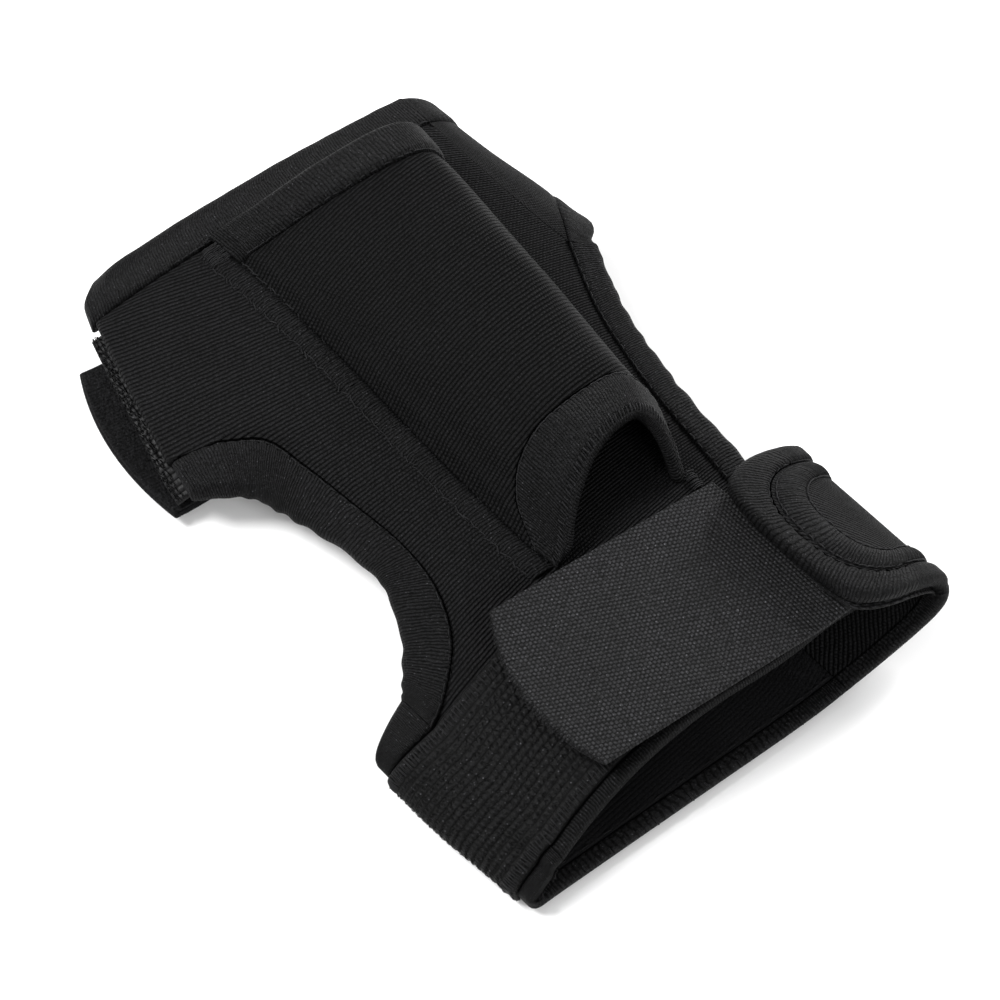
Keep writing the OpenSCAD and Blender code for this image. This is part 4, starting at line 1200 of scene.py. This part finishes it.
@dataclass
class Pocket:
    """Splint pocket: its arch, hem, mouth binding, seams and tacks, and the splint."""

    room: Workroom
    run: float = 58.0

    def foot(self, t: Array) -> Array:
        """How much thinner the cloth is pressed at its sewn foot, in millimetres."""
        return 1.5 * (1 - smooth(t, 0, 0.07))

    def cloth(self) -> None:
        """Arch of ribbed cloth."""
        def at(u: Array, v: Array, k: Array) -> Array:
            y = mix(PATTERN.mouth_in(u), PATTERN.pocket_end(u) - HEM, v)
            sway = 0.28 * np.sin(u * 9 + v * 3) * np.sin(v * 8 + u * 2) + 0.35 * np.exp(-(v * 75 / 2) ** 2) \
                + 0.35 * np.exp(-((1 - v) * 75 / 2) ** 2)
            return PATTERN.pocket(u, y, np.zeros_like(u), mix(POCKET_T, self.foot(u) + sway, k))

        def ribs(u: Array, v: Array) -> tuple[Array, Array]:
            y = mix(PATTERN.mouth_in(u), PATTERN.pocket_end(u) - HEM, v)
            return u * self.run, y - 6.5 * (1 - (1 - u) ** 2)

        piece = Cloth("pocket_cloth", at, self.run, 76, 0.75, (0.9, 0.5, 0.06, 0.06), ribs).build()
        self.room.hand_over(piece, POCKET_KNIT, "brace", ["pocket_panel"], (60, 78), "folded")

    def hem(self) -> None:
        """Folded hem across the pocket's hand end."""
        def at(u: Array, v: Array, k: Array) -> Array:
            run = u * self.run
            y = PATTERN.pocket_end(u) - HEM + v * (HEM + 0.2 * waves(run / 25, 71))
            top = fold_lift(v, LIP + 0.45) + pucker(run, v, 73, 0.1)
            return PATTERN.pocket(u, y, np.zeros_like(u), mix(POCKET_T, 0.6 * self.foot(u) - top, k))

        piece = Cloth("pocket_hem", at, self.run, HEM, 0.75, (1.2, 0.8, 0.4, 1.4),
                      lambda u, v: (v * HEM, u * self.run)).build()
        self.room.hand_over(piece, BINDING, "brace", ["pocket_hand_hem"], (11, 60), "folded")

    def mouth(self) -> None:
        """Binding round the half-moon mouth."""
        def at(u: Array, v: Array, k: Array) -> Array:
            run = u * 66
            y = mix(PATTERN.mouth_in(u), PATTERN.mouth_edge(u), v)
            top = fold_lift(v, LIP + 0.2) + pucker(run, v, 79, 0.16) - 0.45 * np.exp(-((v - 0.84) / 0.05) ** 2)
            return PATTERN.pocket(u, y, v, mix(POCKET_T + 0.1, self.foot(u) - top, k))

        piece = Cloth("mouth_binding", at, 66, 10, 0.75, (1.0, 0.6, 0.4, 1.3), lambda u, v: (v * 10, u * 66)).build()
        self.room.hand_over(piece, BINDING, "brace", ["pocket_mouth_binding"], (10.5, 64), "folded")

    def seams(self) -> None:
        """Seam tape on the left foot and the ridge on the right foot."""
        def tape(u: Array, v: Array, k: Array) -> Array:
            y = mix(50.5, 152.5, u)
            wide = 1 + 0.06 * waves(u * 5, 83)
            x = PATTERN.foot_left(y) - 2.0 + (v - 0.5) * 5.8 * wide
            side = np.minimum(v, 1 - v) * 5.8
            top = 0.8 * smooth(side, 0.4, 1.1) + 0.24 * np.sin(u * 290 + 2 * waves(u * 9, 5)) * np.sin(math.pi * v) \
                + 0.12 * waves(u * 14, 89) + 0.25 * (1 - smooth(side, 0, 0.5))
            return PATTERN.top(x, y, mix(-0.2, top, k))

        def ridge(u: Array, v: Array, k: Array) -> Array:
            y = mix(64, 142, u)
            x = PATTERN.foot_right(y) + 0.3 + 2.1 * v
            return PATTERN.top(x, y, mix(-0.2, 0.95 + 0.12 * np.sin(u * 220), k))

        piece = Cloth("seam_tape", tape, 98, 4.6, 0.6, (0.8, 0.8, 0.5, 0.5), lambda u, v: (v * 4.6, u * 98)).build()
        self.room.hand_over(piece, BINDING, "brace", ["pocket_seam_tape"], (5, 98), "laid")
        narrow = Cloth("side_seam", ridge, 78, 2.1, 0.6, (0.6, 0.6, 0.5, 0.5), lambda u, v: (v * 2.1, u * 78)).build()
        self.room.hand_over(narrow, BINDING, "brace", ["pocket_side_seam"], (3, 78), "laid")

    def stitches(self) -> None:
        """Cover stitches over the seam, ladder round the mouth, and bar tacks."""
        def foot(shift: float, lift: float) -> Callable[[Array], Array]:
            def line(t: Array) -> Array:
                y = mix(52.0, 148.0, t)
                return PATTERN.top(PATTERN.foot_left(y) + shift + 0.4 * waves(t * 24, 91), y, lift)
            return line

        def mouth(v: float, lift: float) -> Callable[[Array], Array]:
            def line(t: Array) -> Array:
                y = mix(PATTERN.mouth_in(t), PATTERN.mouth_edge(t), v)
                return PATTERN.pocket(t, y, np.full_like(t, v), self.foot(t) - lift)
            return line

        def end(v: float, lift: float) -> Callable[[Array], Array]:
            def line(t: Array) -> Array:
                return PATTERN.pocket(t, PATTERN.pocket_end(t) - HEM * (1 - v), np.zeros_like(t), self.foot(t) - lift)
            return line

        rows = Scatter("pocket_stitches", Strand.STITCH, 61)
        rows.rows(mouth(0.05, 0.05), mouth(0.12, 0.2), 66, 2.0).rows(end(0.05, 0.05), end(0.12, 0.2), 58, 2.0)
        rows.rows(foot(-4.5, 0.15), foot(-4.0, 0.15), 96, 1.5).rows(foot(0.5, 0.55), foot(0.9, 0.55), 96, 1.5)
        ladder = Scatter("pocket_ladder", Strand.STITCH, 67)
        ladder.rows(mouth(0.86, 0.6), mouth(0.91, 0.45), 66, 1.15, across=True)
        ladder.rows(foot(-2.0, 0.66), foot(-1.5, 0.66), 96, 1.3, across=True, jitter=0.3)
        tack = Scatter("bar_tack_threads", Strand.TACK, 97)
        for x, y, wide, long in ((25.6, 50.5, 1.2, 4.4), (-27.2, 150.5, 2.6, 5.2)):
            for shift in np.linspace(-wide / 2, wide / 2, max(1, round(wide))):
                tack.rows(lambda t, s=shift, x0=x, y0=y, l=long: PATTERN.top(x0 + s + 0 * t, y0 + (t - 0.5) * l, 0.7),
                          lambda t, s=shift, x0=x, y0=y, l=long: PATTERN.top(x0 + s + 0.5, y0 + (t - 0.5) * l, 0.7),
                          long, 0.42, across=True, jitter=0.3)
        self.room.hand_over(rows.build(self.room, THREAD), THREAD, "brace")
        self.room.hand_over(ladder.build(self.room, THREAD), THREAD, "brace")
        self.room.hand_over(tack.build(self.room, THREAD), THREAD, "brace", ["bar_tacks"])

    def build(self) -> None:
        """Makes the pocket and gives the splint its metal."""
        self.cloth()
        self.hem()
        self.mouth()
        self.seams()
        self.stitches()
        self.room.dress(frame["nodes"]["splint"], SPLINT_METAL)


@dataclass
class WristClosure:
    """Wrist strap with its hook pad, and the loop tape that it closes on."""

    room: Workroom
    share: float = 0.45
    end: float = 0.27

    def strap_y(self, x: Array, v: Array) -> Array:
        """Y across the strap."""
        return 27 + 0.042 * (30 - x) + (2 * v - 1) * STRAP_HALF

    def fold(self, y: Array) -> Array:
        """Line beside the wing where the strap folds."""
        return 26 - LEAN * (y - 24)

    def tip(self, y: Array) -> Array:
        """Convex end of the strap."""
        return -31 + 5 * ((y - 29.5) / STRAP_HALF) ** 2

    def strap_place(self, u: Array, v: Array) -> tuple[Array, Array]:
        """X and Y on the strap, from under the wing to the tip."""
        y = self.strap_y(mix(30, -28, u), v) + (1 - v) * 1.2 * (1 - smooth(u, 0.02, 0.3))
        return mix(self.fold(y) + 4 + 9 * (1 - smooth(v, 0, 0.4)), self.tip(y), u), y

    def strap(self) -> None:
        """Webbing strap and the hook pad under its end."""
        hinge = hinge_of("strap_peel")
        middle = np.array(hinge["pos_m"])
        out = np.array((-0.9867, -0.1628, 0.0))
        bend = ("strap", middle + out * -1.2 * MM, middle + out * 3 * MM)

        def at(u: Array, v: Array, k: Array) -> Array:
            x, y = self.strap_place(u, v)
            sway = 0.25 * np.sin(u * 5 + 1) * np.sin(v * 4) - 0.35 * np.exp(-((x - 26) / 3.5) ** 2)
            return PATTERN.strap(x, y, (k - 1) * STRAP_T + sway)

        def weave(u: Array, v: Array) -> tuple[Array, Array]:
            x, y = self.strap_place(u, v)
            return 0.99 * y - 0.14 * x, 0.99 * x + 0.14 * y

        piece = Cloth("strap_cloth", at, 60, 39, 0.8, (0.3, 0.35, 0.5, 0.5), weave).build()
        self.room.hand_over(piece, WEBBING, "wing", ["strap_root", "wrist_strap"], (39, 59), "laid", bend)

        def pad(u: Array, v: Array, k: Array) -> Array:
            x0 = mix(-4, -28, u)
            y = mix(self.strap_y(x0, 0) + 2, self.strap_y(x0, 1) - 2, v)
            x = mix(-4, self.tip(y) + 2, u)
            return PATTERN.strap(x, y, mix(-STRAP_T - 0.8, -STRAP_T - 0.05, k))

        hook = Cloth("strap_hook_tape", pad, 23, 35, 1.0, (0.2, 0.2, 0.2, 0.2)).build()
        self.room.hand_over(hook, HOOK_TAPE, "strap", ["strap_hook_pad"], (35, 23), "laid")
        hooks = Scatter("strap_hooks", Strand.NAP, 101)
        hooks.field(lambda u, v: pad(u, v, np.zeros_like(u)), (18, 27), flip=-1.0)
        self.room.hand_over(hooks.build(self.room, HOOK_TAPE), HOOK_TAPE, "strap")

        def rim(v0: float, v1: float, u0: float, u1: float) -> Callable[[Array], Array]:
            def line(t: Array) -> Array:
                x, y = self.strap_place(mix(u0, u1, t), mix(v0, v1, t))
                return PATTERN.strap(x, y, -0.05)
            return line

        edging = Scatter("strap_edging", Strand.STITCH, 103)
        edging.rows(rim(0.02, 0.98, 0.992, 0.992), rim(0.02, 0.98, 0.97, 0.97), 40, 0.8, across=True, lift=-0.1)
        self.room.hand_over(edging.build(self.room, WEBBING), WEBBING, "strap")

    def tape_place(self, u: Array, v: Array, d: Array | float) -> Array:
        """Point d above the laminate, on the panel and then round the left fold."""
        on_panel = u < self.share
        x0 = mix(-20, PATTERN.seam_x(6), np.clip(u / self.share, 0, 1))
        s = mix(0, self.end, np.clip((u - self.share) / (1 - self.share), 0, 1))
        low = np.where(on_panel, PATTERN.lip_y(x0) + LIP_HEM, PATTERN.band_low(s) + LIP_HEM)
        high = np.where(on_panel, mix(44.5, 37.2, u / self.share), PATTERN.band_inner(s) - 0.3)
        y = mix(low, high, v)
        x = mix(-20, PATTERN.seam_x(y), np.clip(u / self.share, 0, 1))
        d = np.broadcast_to(np.asarray(d, float), u.shape)
        flat = PATTERN.top(x, y, d)
        around = PATTERN.wrist(s * PATTERN.loop_hinge, y, -d)
        return np.where(on_panel[..., None], flat, around)

    def tape(self) -> None:
        """Loop tape, its pile and its ladder of cover stitches."""
        def at(u: Array, v: Array, k: Array) -> Array:
            return self.tape_place(u, v, mix(0.05, 0.95, k))

        piece = Cloth("loop_tape_cloth", at, 50, 32, 0.8, (0.3, 0.3, 0.3, 0.3), lambda u, v: (u * 50, v * 32)).build()
        self.room.hand_over(piece, LOOP_PILE, "brace", ["loop_tape"], (34, 50), "folded")
        pile = Scatter("loop_tape_pile", Strand.LOOP, 107)
        pile.field(lambda u, v: self.tape_place(u, 0.1 + 0.8 * v, 0.8), (56, 17), flip=-1.0)
        self.room.hand_over(pile.build(self.room, LOOP_PILE), LOOP_PILE, "brace")

        def row(v: float) -> Callable[[Array], Array]:
            return lambda t: self.tape_place(t * 0.99 + 0.005, np.full_like(t, v), 1.0)

        ladder = Scatter("tape_ladder", Strand.LADDER, 109)
        ladder.rows(row(0.05), row(0.09), 50, 0.85, across=True).rows(row(0.95), row(0.91), 50, 0.85, across=True)
        self.room.hand_over(ladder.build(self.room, THREAD), THREAD, "brace", ["tape_stitching"])

    def build(self) -> None:
        """Makes the whole closure."""
        self.strap()
        self.tape()


@dataclass
class PalmLoop:
    """Palm strap with its bindings, the loop-faced flap, and the hook tape under the hand tab."""

    room: Workroom

    def strap(self) -> None:
        """Strap round the outer fold and under the hand, between its two bindings."""
        def cloth(u: Array, v: Array, k: Array) -> Array:
            return PATTERN.palm_side(u, mix(PATTERN.palm_low_in(u), PATTERN.palm_high_in(u), v), (1 - k) * NEOPRENE)

        def strip(low: Curve, high: Curve, run: float, seed: int) -> Surface:
            def at(u: Array, v: Array, k: Array) -> Array:
                y = mix(low(u), high(u), v)
                swell = (fold_lift(v, LIP + 0.15) + pucker(u * run, v, seed, 0.12)) * (1 - smooth(u, 0.2, 0.45))
                point = PATTERN.palm_side(u, y, mix(NEOPRENE + LIP, -swell, k))
                point[..., 2] = np.maximum(point[..., 2], 0)
                return point
            return at

        def ribs(u: Array, v: Array) -> tuple[Array, Array]:
            y = mix(PATTERN.palm_low_in(u), PATTERN.palm_high_in(u), v)
            x = 30 + u * 100
            turn = np.clip(-0.27 + 0.52 * (y - 40) / 100, -0.3, 0.3)
            return x, y + turn * 60 + (turn + 0.32) * (x - 30)

        piece = Cloth("palm_cloth", cloth, 98, 31, 0.9, weave=ribs).build()
        self.room.hand_over(piece, KNIT, "brace", ["palm_strap"], (31, 98), "folded")
        low = Cloth("palm_low_binding", strip(PATTERN.palm_low_in, PATTERN.palm_low, 98, 113), 98, 7, 0.8,
                    (0.06, 0.06, 0.4, 1.7), lambda u, v: (v * 7, u * 98)).build()
        high = Cloth("palm_high_binding", strip(PATTERN.palm_high_in, PATTERN.palm_high, 98, 127), 98, 8.5, 0.8,
                     (0.06, 0.06, 0.4, 1.7), lambda u, v: (v * 8.5, u * 98)).build()
        self.room.hand_over(low, BINDING, "brace", ["palm_strap_bindings"], (8, 98), "folded")
        self.room.hand_over(high, BINDING, "brace", [], (10, 98), "folded")

    @staticmethod
    def flap_place(u: Array, v: Array, inset: float) -> tuple[Array, Array]:
        """X and Y on the flap."""
        y = mix(mix(109.8, 107.9, u) + inset, mix(150, 149, u) - inset, v)
        return mix(-40, -68 + 3.4 * ((y - 128) / 20) ** 2 + inset, u), y

    def flap(self) -> None:
        """Flap and its loop facing."""
        def base(u: Array, v: Array, k: Array) -> Array:
            return PATTERN.flap(*self.flap_place(u, v, 0), k * 2.0)

        def face(u: Array, v: Array, k: Array) -> Array:
            return PATTERN.flap(*self.flap_place(u, v, 0.5), mix(2.0, 2.45, k))

        piece = Cloth("flap_cloth", base, 28, 41, 0.9, (0.06, 0.7, 0.7, 0.7)).build()
        self.room.hand_over(piece, LINING, "flap", ["palm_flap"], (27, 41), "laid")
        facing = Cloth("flap_loop_cloth", face, 27, 40, 0.9, (0.2, 0.3, 0.3, 0.3)).build()
        self.room.hand_over(facing, FLAP_PILE, "flap", ["palm_flap_loop_face"], (26, 40), "laid")
        pile = Scatter("flap_pile", Strand.NAP, 131)
        pile.field(lambda u, v: PATTERN.flap(*self.flap_place(0.3 + 0.7 * u, v, 1.0), 2.2), (26, 44), flip=-1.0)
        self.room.hand_over(pile.build(self.room, FLAP_PILE), FLAP_PILE, "flap")

    def hook_tape(self) -> None:
        """Hook tape under the tab, with its hooks standing out past the edge."""
        under = NEOPRENE + LIP + 0.05

        def at(u: Array, v: Array, k: Array) -> Array:
            y = mix(109.0, 152.0, v)
            return PATTERN.top(PATTERN.tab_edge(y) + mix(8, -2.2, u), y, mix(-under - 0.9, -under, k))

        tape = Cloth("tab_hook_cloth", at, 10.2, 43, 0.9, (0.2, 0.3, 0.3, 0.3)).build()
        self.room.hand_over(tape, HOOK_TAPE, "tab", ["hand_hook_tape"], (10, 44), "laid")
        short = Scatter("tab_hooks_under", Strand.NAP, 139)
        short.field(lambda u, v: at(0.05 + 0.85 * u, v, 0.12 + 0 * u), (12, 50), flip=1.0)
        self.room.hand_over(short.build(self.room, HOOK_TAPE), HOOK_TAPE, "tab")
        hooks = Scatter("tab_hooks", Strand.HOOK, 137)
        hooks.field(lambda u, v: at(0.985 + 0 * u, v, u), (2, 60), flip=-1.0)
        hooks.field(lambda u, v: at(0.8 + 0.2 * u, v, np.ones_like(u)), (3, 60), flip=-1.0)
        self.room.hand_over(hooks.build(self.room, HOOK_TAPE), HOOK_TAPE, "tab")

    def build(self) -> None:
        """Makes the whole palm loop."""
        self.strap()
        self.flap()
        self.hook_tape()


# ---------------------------------------------------------------- studio

@dataclass
class Studio:
    """Camera, soft lights and the pale floor."""

    look_at: tuple[float, float, float] = (-0.00584, 0.05494, 0.0)
    azimuth: float = -34.170
    elevation: float = 63.294
    distance: float = 0.46472

    def camera(self) -> None:
        """Sets the camera."""
        a, e = math.radians(self.azimuth), math.radians(self.elevation)
        back = Vector((math.sin(a) * math.cos(e), -math.cos(a) * math.cos(e), math.sin(e)))
        lens = bpy.data.cameras.new("view")
        lens.lens = 80
        lens.sensor_width = 36
        lens.clip_start = 0.01
        made = bpy.data.objects.new("view", lens)
        made.location = Vector(self.look_at) + back * self.distance
        made.rotation_euler = back.to_track_quat("Z", "Y").to_euler()
        bpy.context.scene.collection.objects.link(made)
        bpy.context.scene.camera = made

    def light(self, name: str, place: tuple[float, float, float], size: float, power: float) -> None:
        """Adds a soft square light that points at the middle of the object."""
        lamp = bpy.data.lights.new(name, "AREA")
        lamp.size = size
        lamp.energy = power
        made = bpy.data.objects.new(name, lamp)
        made.location = place
        made.rotation_euler = (Vector(place) - Vector(self.look_at)).to_track_quat("Z", "Y").to_euler()
        bpy.context.scene.collection.objects.link(made)

    def build(self) -> None:
        """Makes the whole studio."""
        self.camera()
        self.light("key", (-0.45, 0.65, 0.85), 0.45, 16.0)
        self.light("side", (0.95, 0.45, 0.45), 0.4, 13.0)
        self.light("front", (0.1, -0.9, 0.75), 0.5, 5.0)
        world = bpy.data.worlds.new("studio")
        world.use_nodes = True
        ground = world.node_tree.nodes["Background"]
        ground.inputs["Color"].default_value = (1, 1, 1, 1)
        ground.inputs["Strength"].default_value = 0.6
        bpy.context.scene.world = world
        bpy.context.scene.view_settings.view_transform = "Standard"
        size = 4.0
        points = np.array([(-size, -size, -0.0002), (size, -size, -0.0002), (size, size, -0.0002),
                           (-size, size, -0.0002)])
        floor = make_mesh("studio_floor", points, np.array([[0, 1, 2, 3]]))
        material = bpy.data.materials.new("pale_floor")
        material.use_nodes = True
        surface = material.node_tree.nodes["Principled BSDF"]
        surface.inputs["Base Color"].default_value = (0.92, 0.92, 0.92, 1)
        surface.inputs["Roughness"].default_value = 0.9
        surface.inputs["Specular IOR Level"].default_value = 0.1
        floor.data.materials.append(material)


def main() -> None:
    """Builds the studio, then each sub-assembly."""
    logging.basicConfig(level=logging.INFO, format="%(name)s %(message)s")
    Studio().build()
    room = Workroom()
    for assembly in (PalmPanel(room), WristLoop(room), Pocket(room), WristClosure(room), PalmLoop(room)):
        assembly.build()
    LOG.info("%d pieces", room.count)


if __name__ == "__main__":
    main()
